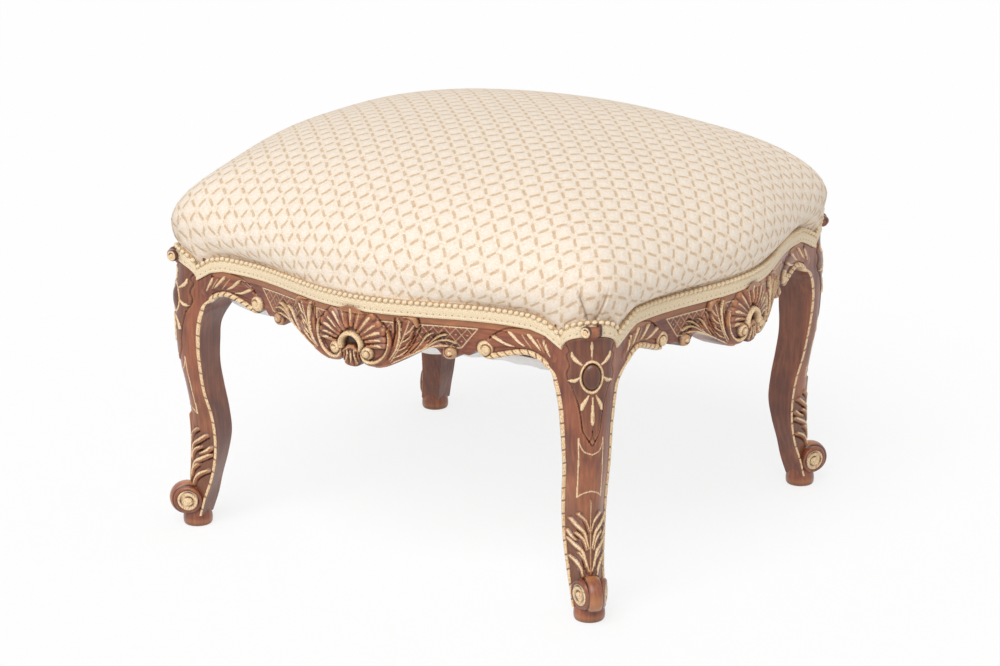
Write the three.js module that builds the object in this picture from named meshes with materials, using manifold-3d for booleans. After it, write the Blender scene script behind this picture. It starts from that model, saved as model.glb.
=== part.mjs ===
// A carved and part-gilded footstool on four cabriole legs, with a sprung and stuffed seat.
// Millimetres, +Z up, the origin on the floor under the middle of the seat, the front towards -Y.

import * as THREE from 'three';
import { mergeVertices } from 'three/addons/utils/BufferGeometryUtils.js';
import Module from 'manifold-3d';

const wasm = await Module();
wasm.setup();

// The frame seen in plan: where the flat ends of the rails' show faces lie
const FRAME_HALF_WIDTH = 268;
const FRAME_HALF_DEPTH = 252;
const FRONT_BOW = 39;
const SIDE_BOW = 34;
const BOW_HALF_SPAN = 178;

// Heights that several pieces share
const SHOW_TOP = 300;
const FRAME_TOP = 322;
const WAIST_HEIGHT = 338;
const APEX_HEIGHT = 454;

// Clearance between pieces that touch, and what a cut runs past the surface that it opens
const FIT = 0.3;
const OVERRUN = 5;

// Legs: cut from square stock, with the outer corner rounded into a knee
const LEG_STOCK = 60;
const LEG_INSET = 17.4;
const KNEE_HALF_WIDTH = 27;
const KNEE_RISE = 14.4;
const KNEE_FULLNESS = 2.3;
const FOOT_RADIUS = 16.5;
const FOOT_HEIGHT = 17;
const TOE_RADIUS = 18;
const TOE_HEIGHT = 31;
const TOE_OUT = 12;
const TOE_ROLL_LENGTH = 18;
const TOE_EYE_RADIUS = 13;
const TOE_EYE_LENGTH = 39;
const KNEE_ROLL_RADIUS = 5.3;
const KNEE_ROLL_LENGTH = 17;
const KNEE_ROLL_OUT = 20;
const KNEE_ROLL_HEIGHT = 308;
const KNEE_NECK_DEPTH = 8;
const CABOCHON_HALF_WIDTH = 8.5;
const CABOCHON_HALF_HEIGHT = 12;
const CABOCHON_DEPTH = 5;
const CABOCHON_HEIGHT = 264;
// Each row is one level of the leg from the foot up: its height as a share of SHOW_TOP, then how far out
// the ridge, the bead edge and the inner corner lie, half the width and the flank beside the bead, all as
// shares of LEG_STOCK.
const LEG_LEVEL_SHARES = [
  [0.045, 0.08, 0.0, -0.28, 0.253, 0.05],
  [0.11, 0.1, -0.08, -0.39, 0.267, 0.057],
  [0.183, 0.07, -0.2, -0.475, 0.282, 0.068],
  [0.267, 0.045, -0.275, -0.59, 0.31, 0.073],
  [0.35, 0.035, -0.285, -0.665, 0.328, 0.075],
  [0.433, 0.06, -0.235, -0.635, 0.343, 0.075],
  [0.533, 0.135, -0.105, -0.55, 0.355, 0.075],
  [0.617, 0.215, -0.035, -0.492, 0.368, 0.085],
  [0.7, 0.255, 0.015, -0.5, 0.385, 0.095],
  [0.783, 0.265, 0.02, -0.56, 0.413, 0.113],
  [0.833, 0.265, 0.0, -0.72, 0.433, 0.133],
  [0.87, 0.262, -0.02, -0.885, 0.447, 0.205],
];

// Seat rails: sawn to a serpentine, with a rebate above the show wood and a tenon at each end
const RAIL_THICKNESS = 28;
const REBATE = 5.4;
const SHOW_DROP = 15;
const SHOW_DROP_SPAN = 36;
const SHOW_DROP_SHARE = 0.25;
const KNEE_ARCH = 17;
const RAIL_DEPTH = 60;
const TENON_LENGTH = 28;
const TENON_THICKNESS = 10;
const TENON_HEIGHT = 20;
const TENON_BELOW_TOP = 28;
const TENON_FIT = 0.2;
// The carved lower edge of half a rail: distance from the middle as a share of the way to the knee,
// then height above the lowest point as a share of RAIL_DEPTH.
const RAIL_EDGE_SHARES = [
  [0, 0.01],
  [0.035, 0.03],
  [0.053, 0.115],
  [0.088, 0.05],
  [0.133, 0.025],
  [0.177, 0.065],
  [0.221, 0.135],
  [0.265, 0.215],
  [0.31, 0.325],
  [0.354, 0.41],
  [0.407, 0.475],
  [0.434, 0.415],
  [0.46, 0.31],
  [0.5, 0.3],
  [0.535, 0.39],
  [0.575, 0.4],
  [0.605, 0.465],
  [0.635, 0.44],
  [0.68, 0.4],
  [0.73, 0.475],
  [0.785, 0.53],
  [0.85, 0.55],
  [0.93, 0.48],
];
const SHELL_HALF_WIDTH = 42;
const SHELL_HALF_HEIGHT = 30;
const SHELL_HEIGHT = 269;
const SHELL_DEPTH = 6;
// Carved scroll eyes on half a rail: distance from the middle as a share of the way to the knee,
// height as a share of SHOW_TOP, radius and proud depth as shares of RAIL_DEPTH.
const EYE_SHARES = [
  [0.095, 0.859, 0.13, 0.1],
  [0.478, 0.886, 0.115, 0.07],
  [0.632, 0.917, 0.12, 0.06],
];

// Corner blocks, screwed to the rails inside each corner
const BLOCK_ARM = 48;
const BLOCK_END = 20;
const BLOCK_BELOW_TOP = 30;
const BLOCK_HEIGHT = 20;
const SCREW_FROM_LEG = 32;
const SCREW_SHANK_RADIUS = 2.4;
const SCREW_HEAD_RADIUS = 4.6;
const SCREW_HEAD_HEIGHT = 3;
const SCREW_BITE = 15;
const SCREW_SEAT = 20;
const SCREW_FIT = 0.6;

// Battens glued inside the rails: the webbing and the spring twine are tacked to them
const BATTEN_THICKNESS = 20;
const BATTEN_BOTTOM = 264;
const BATTEN_HEIGHT = 28;
const BATTEN_STEPS = 14;

// Webbing, sagging under the springs
const SPRING_PITCH = 120;
const WEB_WIDTH = 46;
const WEB_THICKNESS = 1.6;
const WEB_LIFT = 1.5;
const WEB_SAG = 32;
const WEB_END_MARGIN = 3;
const WEB_TURN_SHARES = [0.5, 0.85];

// Coil springs between the webbing and the spring canvas
const SPRING_END_RADIUS = 38;
const SPRING_WAIST_RADIUS = 25;
const WIRE_RADIUS = 1.8;
const SPRING_TURNS = 4;
const SPRING_TURN_STEPS = 6;
const SPRING_WIRE_SIDES = 4;
const SPRING_FLAT_SHARE = 0.6;
const SPRING_SEAT_GAP = 1.2;

// Laid twine over the springs, tacked to the battens
const TWINE_RADIUS = 1.3;
const TWINE_GAP = 0.6;
const TWINE_STEPS = 8;
const TWINE_SIDES = 4;

// Spring canvas, stuffing, wadding and the top cover, from the inside out
const CANVAS_RISE = 50;
const CANVAS_THICKNESS = 1.4;
const CANVAS_INSET = 21;
const CANVAS_FLAT_SHARE = 0.92;
const CANVAS_GAP = 2.5;
const STUFFING_OFFSET = 15.5;
const WADDING_OFFSET = 5.5;
const WADDING_THICKNESS = 8;
const COVER_THICKNESS = 1.6;
const COVER_INSET = 2;
const COVER_HEM = 2;
const SEAT_BEYOND_SIDES = 44;
const SEAT_BEYOND_FRONT = 40;
const SEAT_OVERHANG = 8;
const SEAT_SQUARENESS = 4.5;
const CROWN_SQUARENESS = 3;
const CROWN_POWER = 2.2;
const CROWN_ROUNDING = 1.75;
const RAIL_FOLLOW_SHARE = 0.4;
const COVER_CROWN_SHARES = [1, 0.985, 0.93, 0.8, 0.5];
const PAD_CROWN_SHARES = [1, 0.93, 0.78, 0.5];
const CANVAS_RING_SHARES = [1, 0.92, 0.8, 0.6, 0.3];

// Braid over the tacked edge of the cover
const BRAID_HEIGHT = 17;
const BRAID_THICKNESS = 5;
const BRAID_INSET = 1.4;
// Its section from the lower inner corner: out as a share of its thickness, up as a share of its height
const BRAID_SECTION_SHARES = [
  [0, 0],
  [0.76, 0],
  [0.78, 0.55],
  [1, 0.72],
  [0.8, 1],
  [0, 1],
];

// Bottom cloth, hanging slack under the webbing
const CLOTH_THICKNESS = 1.2;
const CLOTH_SAG = 50;
const CLOTH_SLACKNESS = 0.4;
const CLOTH_SQUARENESS = 2.6;
const CLOTH_MARGIN = 7;
const CLOTH_RING_SHARES = [1, 0.985, 0.93, 0.8, 0.5];

// How finely the plan outline is stepped along a rail and round a knee
const BOW_STEPS = 10;
const KNEE_STEPS = 4;

// Sizes worked out from the ones above
const LEG_X = FRAME_HALF_WIDTH - LEG_INSET;
const LEG_Y = FRAME_HALF_DEPTH - LEG_INSET;
const HALF_DIAGONAL = Math.SQRT1_2;
const KNEE_SIDE_DEPTH = LEG_INSET / HALF_DIAGONAL - KNEE_HALF_WIDTH;
const KNEE_RADIUS = (KNEE_HALF_WIDTH ** 2 + KNEE_RISE ** 2) / (2 * KNEE_RISE);
const KNEE_ANGLE = Math.asin(KNEE_HALF_WIDTH / KNEE_RADIUS);
const KNEE_RIDGE = KNEE_SIDE_DEPTH + KNEE_RISE;
const KNEE_FROM_LEG = (KNEE_HALF_WIDTH - KNEE_SIDE_DEPTH) * HALF_DIAGONAL;
const RAIL_BOTTOM = SHOW_TOP - RAIL_DEPTH;
const SEAT_HALF_WIDTH = FRAME_HALF_WIDTH + SEAT_BEYOND_SIDES;
const SEAT_HALF_DEPTH = FRAME_HALF_DEPTH + SEAT_BEYOND_FRONT;
const BLOCK_BOTTOM = SHOW_TOP - BLOCK_BELOW_TOP;
const CLOTH_TOP = BATTEN_BOTTOM - 2 * FIT - WEB_THICKNESS;

const FRONT = {
  half: FRAME_HALF_WIDTH - LEG_STOCK,
  knee: LEG_X - KNEE_FROM_LEG,
  face: FRAME_HALF_DEPTH,
  bow: FRONT_BOW,
};
const SIDE = {
  half: FRAME_HALF_DEPTH - LEG_STOCK,
  knee: LEG_Y - KNEE_FROM_LEG,
  face: FRAME_HALF_WIDTH,
  bow: SIDE_BOW,
};

const COLOURS = {
  carvedWood: 0x8a5040,
  plainWood: 0xb08a62,
  metal: 0x9a9690,
  webbing: 0xb39a72,
  canvas: 0xa58a5c,
  stuffing: 0x6b5a45,
  wadding: 0xe8e2d4,
  cover: 0xeadcc6,
  braid: 0xe6d3ad,
  cloth: 0xf3eee3,
};

// Geometry helpers

function geometryOf(points, triangles) {
  const geometry = new THREE.BufferGeometry();
  const positions = points.flatMap((p) => [p.x, p.y, p.z]);
  geometry.setAttribute('position', new THREE.Float32BufferAttribute(positions, 3));
  geometry.setIndex(triangles);
  return volumeOf(geometry) < 0 ? flipped(geometry) : geometry;
}

function volumeOf(geometry) {
  const position = geometry.getAttribute('position');
  const index = geometry.getIndex();
  const [a, b, c] = [new THREE.Vector3(), new THREE.Vector3(), new THREE.Vector3()];
  let volume = 0;
  for (let i = 0; i < index.count; i += 3) {
    a.fromBufferAttribute(position, index.getX(i));
    b.fromBufferAttribute(position, index.getX(i + 1));
    c.fromBufferAttribute(position, index.getX(i + 2));
    volume += a.dot(b.cross(c)) / 6;
  }
  return volume;
}

function flipped(geometry) {
  const index = geometry.getIndex();
  for (let i = 0; i < index.count; i += 3) {
    const first = index.getX(i);
    index.setX(i, index.getX(i + 1));
    index.setX(i + 1, first);
  }
  return geometry;
}

// Joins rings with the same number of points. The two ends are closed with a fan, unless the rings
// themselves run round in a loop.
function loft(rings, looped = false) {
  const count = rings[0].length;
  const points = rings.flat();
  const triangles = [];
  const last = looped ? rings.length : rings.length - 1;
  for (let i = 0; i < last; i += 1) {
    const low = i * count;
    const high = ((i + 1) % rings.length) * count;
    for (let j = 0; j < count; j += 1) {
      const k = (j + 1) % count;
      triangles.push(low + j, low + k, high + k, low + j, high + k, high + j);
    }
  }
  if (!looped) {
    for (const end of [0, rings.length - 1]) {
      const middle = new THREE.Vector3();
      rings[end].forEach((p) => middle.addScaledVector(p, 1 / count));
      const centre = points.push(middle) - 1;
      for (let j = 0; j < count; j += 1) {
        const k = (j + 1) % count;
        const [from, to] = end === 0 ? [k, j] : [j, k];
        triangles.push(centre, end * count + from, end * count + to);
      }
    }
  }
  return geometryOf(points, triangles);
}

// Sweeps a round section along points, keeping one side of the section level
function wire(path, radius, sides) {
  const up = new THREE.Vector3(0, 0, 1);
  const rings = path.map((point, i) => {
    const before = path[Math.max(i - 1, 0)];
    const after = path[Math.min(i + 1, path.length - 1)];
    const along = after.clone().sub(before).normalize();
    const across = along.clone().cross(up).normalize();
    const over = across.clone().cross(along);
    return Array.from({ length: sides }, (_, j) => {
      const angle = (2 * Math.PI * j) / sides;
      return point.clone()
        .addScaledVector(across, radius * Math.cos(angle))
        .addScaledVector(over, radius * Math.sin(angle));
    });
  });
  return loft(rings);
}

// A sheet or pad between two stacks of rings that share their outline stations. Each stack runs from
// the rim inwards and ends in one middle point.
function layered(outer, inner) {
  const count = outer[0].length;
  const points = [];
  const triangles = [];
  const add = (rings) => {
    const start = points.length;
    rings.forEach((ring) => points.push(...ring));
    return start;
  };
  const cover = (rings, start) => {
    const top = rings.length - 2;
    for (let i = 0; i < top; i += 1) {
      for (let j = 0; j < count; j += 1) {
        const k = (j + 1) % count;
        const [a, b] = [start + i * count + j, start + i * count + k];
        triangles.push(a, b, b + count, a, b + count, a + count);
      }
    }
    const apex = start + (top + 1) * count;
    for (let j = 0; j < count; j += 1) {
      triangles.push(start + top * count + j, start + top * count + ((j + 1) % count), apex);
    }
  };
  const outerStart = add(outer);
  cover(outer, outerStart);
  const firstInner = triangles.length;
  const innerStart = add(inner);
  cover(inner, innerStart);
  for (let i = firstInner; i < triangles.length; i += 3) {
    [triangles[i], triangles[i + 1]] = [triangles[i + 1], triangles[i]];
  }
  for (let j = 0; j < count; j += 1) {
    const k = (j + 1) % count;
    triangles.push(outerStart + k, outerStart + j, innerStart + j);
    triangles.push(outerStart + k, innerStart + j, innerStart + k);
  }
  return geometryOf(points, triangles);
}

function manifoldOf(geometry) {
  const plain = geometry.index ? geometry.clone() : geometry;
  plain.deleteAttribute('normal');
  plain.deleteAttribute('uv');
  const merged = mergeVertices(plain);
  const vertProperties = new Float32Array(merged.getAttribute('position').array);
  const triVerts = new Uint32Array(merged.getIndex().array);
  return new wasm.Manifold(new wasm.Mesh({ numProp: 3, vertProperties, triVerts }));
}

function geometryFrom(solid) {
  const { vertProperties, triVerts } = solid.getMesh();
  const geometry = new THREE.BufferGeometry();
  geometry.setAttribute('position', new THREE.BufferAttribute(vertProperties, 3));
  geometry.setIndex(new THREE.BufferAttribute(triVerts, 1));
  return geometry;
}

function joined(base, added) {
  return geometryFrom(added.reduce((sum, piece) => sum.add(manifoldOf(piece)), manifoldOf(base)));
}

function cut(base, removed) {
  return geometryFrom(removed.reduce((rest, tool) => rest.subtract(manifoldOf(tool)), manifoldOf(base)));
}

// A cylinder from its axis direction, with its middle at a point
function rod(radius, length, sides, direction, middle) {
  const geometry = new THREE.CylinderGeometry(radius, radius, length, sides);
  const turn = new THREE.Quaternion().setFromUnitVectors(new THREE.Vector3(0, 1, 0), direction);
  return geometry.applyQuaternion(turn).translate(middle.x, middle.y, middle.z);
}

// A box given by its two extreme corners
function brick(low, high) {
  const size = high.clone().sub(low);
  const middle = high.clone().add(low).multiplyScalar(1 / 2);
  return new THREE.BoxGeometry(size.x, size.y, size.z).translate(middle.x, middle.y, middle.z);
}

// The plan outline

// How far the serpentine stands out at a distance from the middle of a rail, as a share of its bow
function bowShare(along) {
  const share = Math.min(Math.abs(along) / BOW_HALF_SPAN, 1);
  return (1 + Math.cos(Math.PI * share)) / 2;
}

function faceOf(rail, along) {
  return rail.face + rail.bow * bowShare(along);
}

// Top of the show wood: level along a rail, falling in two straight runs to the point where rail and
// knee meet. The first run ends where the rail's own face ends against the leg.
function showTop(rail, along) {
  const distance = Math.abs(along);
  const start = rail.knee - SHOW_DROP_SPAN;
  const turn = SHOW_DROP * SHOW_DROP_SHARE;
  if (distance <= start) return SHOW_TOP;
  if (distance <= rail.half) return SHOW_TOP - (turn * (distance - start)) / (rail.half - start);
  return SHOW_TOP - turn - ((SHOW_DROP - turn) * (distance - rail.half)) / (rail.knee - rail.half);
}

// Where the outline has its points along a rail, up to the knee at its far end
function railStations(rail, bowSteps) {
  const level = rail.knee - SHOW_DROP_SPAN;
  const stations = [-rail.knee, -rail.half];
  for (let i = 0; i <= bowSteps; i += 1) {
    stations.push(level * ((2 * i) / bowSteps - 1));
  }
  return [...stations, rail.half];
}

// The knee's arc in the leg's diagonal frame: a point, its outward normal and the show wood's top
function kneePoint(share) {
  const swing = KNEE_ANGLE * share;
  const arch = KNEE_ARCH * Math.sqrt(Math.max(1 - share ** 2, 0));
  return {
    x: KNEE_RIDGE - KNEE_RADIUS * (1 - Math.cos(swing)),
    y: KNEE_RADIUS * Math.sin(swing),
    z: SHOW_TOP - SHOW_DROP + arch,
    normal: { x: Math.cos(swing), y: Math.sin(swing) },
  };
}

// Points of the outline of the show face, counterclockwise from the middle of a side rail, each with
// the height of the show wood's top edge there
function planOutline(bowSteps, kneeSteps) {
  const outline = [];
  [SIDE, FRONT, SIDE, FRONT].forEach((rail, quarter) => {
    const turn = (quarter * Math.PI) / 2;
    const next = rail === SIDE ? FRONT : SIDE;
    const place = (out, along, z) => {
      const point = new THREE.Vector3(out, along, z);
      outline.push(point.applyAxisAngle(new THREE.Vector3(0, 0, 1), turn));
    };
    railStations(rail, bowSteps).forEach((along) => {
      place(faceOf(rail, along), along, showTop(rail, along));
    });
    for (let i = 0; i < kneeSteps; i += 1) {
      const { x, y, z } = kneePoint((2 * i) / kneeSteps - 1);
      const legOut = rail.face - LEG_INSET;
      const legAlong = next.face - LEG_INSET;
      place(legOut + (x - y) * HALF_DIAGONAL, legAlong + (x + y) * HALF_DIAGONAL, z);
    }
  });
  return outline;
}

function outwardAt(outline, i) {
  const count = outline.length;
  const before = outline[(i + count - 1) % count];
  const after = outline[(i + 1) % count];
  return new THREE.Vector3(after.y - before.y, before.x - after.x, 0).normalize();
}

const fineOutline = planOutline(BOW_STEPS, KNEE_STEPS);
const coarseOutline = fineOutline.filter((p, i) => i % 2 === 0);

// Distance from the middle of the stool to the show face in a direction, in plan
function showRadius(angle) {
  const ray = new THREE.Vector2(Math.cos(angle), Math.sin(angle));
  for (let i = 0; i < fineOutline.length; i += 1) {
    const a = fineOutline[i];
    const b = fineOutline[(i + 1) % fineOutline.length];
    const from = ray.x * a.y - ray.y * a.x;
    const to = ray.x * b.y - ray.y * b.x;
    const ahead = ray.x * a.x + ray.y * a.y > 0;
    if (ahead && from <= 0 && to > 0) {
      const share = from / (from - to);
      return Math.hypot(a.x + (b.x - a.x) * share, a.y + (b.y - a.y) * share);
    }
  }
  throw new Error('no outline in this direction');
}

// Distance to the inner side of the rails and of the leg heads in a direction
function innerRadius(angle, margin) {
  const [across, deep] = [Math.abs(Math.cos(angle)), Math.abs(Math.sin(angle))];
  const legFace = Math.max((FRONT.half - margin) / across, (SIDE.half - margin) / deep);
  return Math.min(showRadius(angle) - RAIL_THICKNESS - margin, legFace);
}

function around(angle, radius, z) {
  return new THREE.Vector3(radius * Math.cos(angle), radius * Math.sin(angle), z);
}

// Legs

// One level of a leg in its own frame: X points out along the diagonal, Y runs across it
function legRing(z, ridge, edge, inner, halfWidth, flank) {
  const half = [];
  for (const share of [0, 0.4, 0.72, 1]) {
    const out = edge + (ridge - edge) * (1 - share ** KNEE_FULLNESS);
    half.push(new THREE.Vector3(out, halfWidth * share, z));
  }
  const step = flank * HALF_DIAGONAL;
  half.push(new THREE.Vector3(edge - step, halfWidth + step, z));
  const mirrored = half.slice(1).reverse().map((p) => new THREE.Vector3(p.x, -p.y, p.z));
  return [...half, new THREE.Vector3(inner, 0, z), ...mirrored];
}

function legBody() {
  const rings = LEG_LEVEL_SHARES.map(([height, ...shares]) => {
    const sizes = shares.map((share) => share * LEG_STOCK);
    return legRing(height * SHOW_TOP, ...sizes);
  });
  const flank = LEG_STOCK - LEG_INSET - KNEE_FROM_LEG;
  const inner = (LEG_INSET - LEG_STOCK) / HALF_DIAGONAL;
  const [height, ridge] = LEG_LEVEL_SHARES[LEG_LEVEL_SHARES.length - 1];
  const headBottom = height * SHOW_TOP + FOOT_HEIGHT / 3;
  const kneeTop = SHOW_TOP - SHOW_DROP;
  const head = [headBottom, kneeTop, FRAME_TOP];
  head.forEach((z) => {
    const out = z < kneeTop ? ridge * LEG_STOCK : KNEE_RIDGE;
    rings.push(legRing(z, out, KNEE_SIDE_DEPTH, inner, KNEE_HALF_WIDTH, flank));
  });
  return loft(rings);
}

// The small roll over the knee and the neck that carries it, grown by a margin where they are a cutter
function kneeRoll(margin) {
  const across = new THREE.Vector3(0, 1, 0);
  const middle = new THREE.Vector3(KNEE_ROLL_OUT, 0, KNEE_ROLL_HEIGHT);
  const length = KNEE_ROLL_LENGTH + 2 * margin;
  const roll = rod(KNEE_ROLL_RADIUS + margin, length, 10, across, middle);
  const neckOut = KNEE_ROLL_OUT - KNEE_ROLL_RADIUS / 2;
  const neckHalf = KNEE_ROLL_LENGTH / 2 - KNEE_ROLL_RADIUS / 5;
  const neckTop = KNEE_ROLL_HEIGHT - KNEE_ROLL_RADIUS / 2 + margin;
  const neckBottom = SHOW_TOP - SHOW_DROP + KNEE_ARCH - KNEE_NECK_DEPTH;
  const neck = brick(
    new THREE.Vector3(KNEE_RIDGE - BRAID_INSET - margin, -neckHalf - margin, neckBottom),
    new THREE.Vector3(neckOut + margin, neckHalf + margin, neckTop),
  );
  return [roll, neck];
}

// What the rebate takes off the leg's head, in the leg's square frame: everything outside the tacking
// line and above the show edge, along the stretch of outline that passes over the knee
function headRebate() {
  const top = FRAME_TOP + OVERRUN;
  const first = BOW_STEPS + 2;
  const rings = fineOutline.slice(first, first + KNEE_STEPS + 5).map((p, i) => {
    const normal = outwardAt(fineOutline, first + i);
    const foot = new THREE.Vector3(p.x - LEG_X, p.y - LEG_Y, 0);
    const ring = [[-REBATE, p.z], [OVERRUN, p.z], [OVERRUN, top], [-REBATE, top]];
    return ring.map(([out, z]) => foot.clone().addScaledVector(normal, out).setZ(z));
  });
  return loft(rings);
}

// Turns from the leg's diagonal frame to one with X and Y square to the frame, outwards
function toSquare(geometry) {
  return geometry.rotateZ(Math.PI / 4);
}

// The slot for one rail's tenon, in the square frame of the leg: it opens towards -X
function mortise() {
  const middle = LEG_INSET - RAIL_THICKNESS / 2;
  const start = LEG_INSET - LEG_STOCK;
  const half = TENON_THICKNESS / 2 + TENON_FIT;
  const top = SHOW_TOP - TENON_BELOW_TOP + TENON_HEIGHT + TENON_FIT;
  return brick(
    new THREE.Vector3(start - OVERRUN, middle - half, top - TENON_HEIGHT - 2 * TENON_FIT),
    new THREE.Vector3(start + TENON_LENGTH + FIT, middle + half, top),
  );
}

function mirroredAcrossDiagonal(geometry) {
  const swap = new THREE.Matrix4().makeBasis(
    new THREE.Vector3(0, 1, 0),
    new THREE.Vector3(1, 0, 0),
    new THREE.Vector3(0, 0, 1),
  );
  return flipped(geometry.applyMatrix4(swap));
}

function legGeometry() {
  const across = new THREE.Vector3(0, 1, 0);
  const up = new THREE.Vector3(0, 0, 1);
  const toe = new THREE.Vector3(TOE_OUT, 0, TOE_HEIGHT);
  const cabochon = new THREE.SphereGeometry(1, 8, 6)
    .scale(CABOCHON_DEPTH, CABOCHON_HALF_WIDTH, CABOCHON_HALF_HEIGHT)
    .translate(KNEE_RIDGE + CABOCHON_DEPTH / 2, 0, CABOCHON_HEIGHT);
  const rebated = cut(toSquare(legBody()), [headRebate()]);
  const carved = [
    rod(FOOT_RADIUS, FOOT_HEIGHT, 14, up, new THREE.Vector3(0, 0, FOOT_HEIGHT / 2)),
    rod(TOE_RADIUS, TOE_ROLL_LENGTH, 12, across, toe),
    rod(TOE_EYE_RADIUS, TOE_EYE_LENGTH, 10, across, toe),
    cabochon,
    ...kneeRoll(0),
  ];
  const whole = joined(rebated, carved.map(toSquare));
  return cut(whole, [mortise(), mirroredAcrossDiagonal(mortise())]);
}

// Rails

// Height of a rail's carved lower edge
function railLow(rail, along) {
  const share = Math.abs(along) / rail.knee;
  const next = RAIL_EDGE_SHARES.findIndex(([station]) => station > share);
  const [from, low] = RAIL_EDGE_SHARES[next - 1];
  const [to, high] = RAIL_EDGE_SHARES[next];
  return RAIL_BOTTOM + RAIL_DEPTH * (low + ((high - low) * (share - from)) / (to - from));
}

function carvedStations(rail) {
  const half = RAIL_EDGE_SHARES.map(([share]) => share * rail.knee).filter((along) => along < rail.half);
  half.push(rail.knee - SHOW_DROP_SPAN, rail.half);
  half.sort((a, b) => a - b);
  return [...half.slice(1).reverse().map((along) => -along), ...half];
}

// A rail in its own frame: X runs along it, Y points out through its show face
function railGeometry(rail) {
  const rings = carvedStations(rail).map((along) => {
    const low = railLow(rail, along);
    const face = faceOf(rail, along);
    const shelf = showTop(rail, along);
    const inner = face - RAIL_THICKNESS;
    const ring = [
      [face, low],
      [face, shelf],
      [face - REBATE, shelf],
      [face - REBATE, FRAME_TOP],
      [inner, FRAME_TOP],
      [inner, low],
    ];
    return ring.map(([out, z]) => new THREE.Vector3(along, out, z));
  });
  const outward = new THREE.Vector3(0, 1, 0);
  const shell = new THREE.SphereGeometry(1, 12, 6)
    .scale(SHELL_HALF_WIDTH, SHELL_DEPTH * 2, SHELL_HALF_HEIGHT)
    .translate(0, faceOf(rail, 0) - SHELL_DEPTH, SHELL_HEIGHT);
  const carved = [shell];
  const tenons = [];
  const screwHoles = [];
  for (const side of [-1, 1]) {
    EYE_SHARES.forEach(([share, height, radius, proud]) => {
      const along = side * share * rail.knee;
      const middle = new THREE.Vector3(along, faceOf(rail, along), height * SHOW_TOP);
      carved.push(rod(radius * RAIL_DEPTH, 2 * proud * RAIL_DEPTH, 8, outward, middle));
    });
    const middle = rail.face - RAIL_THICKNESS / 2;
    const bottom = SHOW_TOP - TENON_BELOW_TOP;
    const ends = [side * (rail.half - OVERRUN), side * (rail.half + TENON_LENGTH)].sort((a, b) => a - b);
    tenons.push(brick(
      new THREE.Vector3(ends[0], middle - TENON_THICKNESS / 2, bottom),
      new THREE.Vector3(ends[1], middle + TENON_THICKNESS / 2, bottom + TENON_HEIGHT),
    ));
    const screw = new THREE.Vector3(
      side * (rail.half - SCREW_FROM_LEG),
      rail.face - RAIL_THICKNESS + SCREW_BITE / 2 - OVERRUN,
      BLOCK_BOTTOM + BLOCK_HEIGHT / 2,
    );
    const bore = SCREW_SHANK_RADIUS + SCREW_FIT;
    screwHoles.push(rod(bore, SCREW_BITE + 2 * OVERRUN + SCREW_FIT, 8, outward, screw));
  }
  return cut(joined(loft(rings), [...carved, ...tenons]), screwHoles);
}

// Corner blocks and their screws, in the square frame of the leg

function blockOutline() {
  const leg = LEG_INSET - LEG_STOCK - FIT;
  const rail = LEG_INSET - RAIL_THICKNESS - FIT;
  const end = LEG_INSET - LEG_STOCK - BLOCK_ARM;
  return [
    [end, rail],
    [leg, rail],
    [leg, leg],
    [rail, leg],
    [rail, end],
    [rail - BLOCK_END, end],
    [end, rail - BLOCK_END],
  ];
}

function screwSeat() {
  return LEG_INSET - RAIL_THICKNESS - SCREW_SEAT;
}

function blockGeometry() {
  const shape = new THREE.Shape(blockOutline().map(([x, y]) => new THREE.Vector2(x, y)));
  const block = new THREE.ExtrudeGeometry(shape, { depth: BLOCK_HEIGHT, bevelEnabled: false });
  block.translate(0, 0, BLOCK_BOTTOM);
  const along = LEG_INSET - LEG_STOCK - SCREW_FROM_LEG;
  const z = BLOCK_BOTTOM + BLOCK_HEIGHT / 2;
  const outward = new THREE.Vector3(0, 1, 0);
  const holeMiddle = new THREE.Vector3(along, 0, z);
  const hole = () => rod(SCREW_SHANK_RADIUS + SCREW_FIT, 2 * LEG_STOCK, 8, outward, holeMiddle);
  const wellMiddle = new THREE.Vector3(along, screwSeat() - LEG_STOCK / 2, z);
  const well = () => rod(SCREW_HEAD_RADIUS + SCREW_FIT, LEG_STOCK, 8, outward, wellMiddle);
  return cut(block, [hole(), well(), mirroredAcrossDiagonal(hole()), mirroredAcrossDiagonal(well())]);
}

// A round-headed wood screw along +Y, with its head's seat on the bottom of the well
function screwGeometry() {
  const tip = LEG_INSET - RAIL_THICKNESS + SCREW_BITE;
  const seat = screwSeat() - FIT;
  const head = seat - SCREW_HEAD_HEIGHT;
  const profile = [
    [0, head],
    [SCREW_HEAD_RADIUS * 0.7, head],
    [SCREW_HEAD_RADIUS, seat - SCREW_HEAD_HEIGHT / 3],
    [SCREW_HEAD_RADIUS, seat],
    [SCREW_SHANK_RADIUS, seat],
    [SCREW_SHANK_RADIUS, tip - 2 * SCREW_SHANK_RADIUS],
    [0, tip],
  ];
  const along = LEG_INSET - LEG_STOCK - SCREW_FROM_LEG;
  const screw = new THREE.LatheGeometry(profile.map(([r, y]) => new THREE.Vector2(r, y)), 6);
  return screw.translate(along, 0, BLOCK_BOTTOM + BLOCK_HEIGHT / 2);
}

// Battens

function battenGeometry(rail) {
  const half = rail.half - BLOCK_ARM - FIT;
  const rings = [];
  for (let i = 0; i <= BATTEN_STEPS; i += 1) {
    const along = half * ((2 * i) / BATTEN_STEPS - 1);
    const outer = faceOf(rail, along) - RAIL_THICKNESS - 2 * FIT;
    const inner = outer - BATTEN_THICKNESS;
    const top = BATTEN_BOTTOM + BATTEN_HEIGHT;
    const ring = [[inner, BATTEN_BOTTOM], [outer, BATTEN_BOTTOM], [outer, top], [inner, top]];
    rings.push(ring.map(([out, z]) => new THREE.Vector3(along, out, z)));
  }
  return loft(rings);
}

// Webbing

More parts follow.
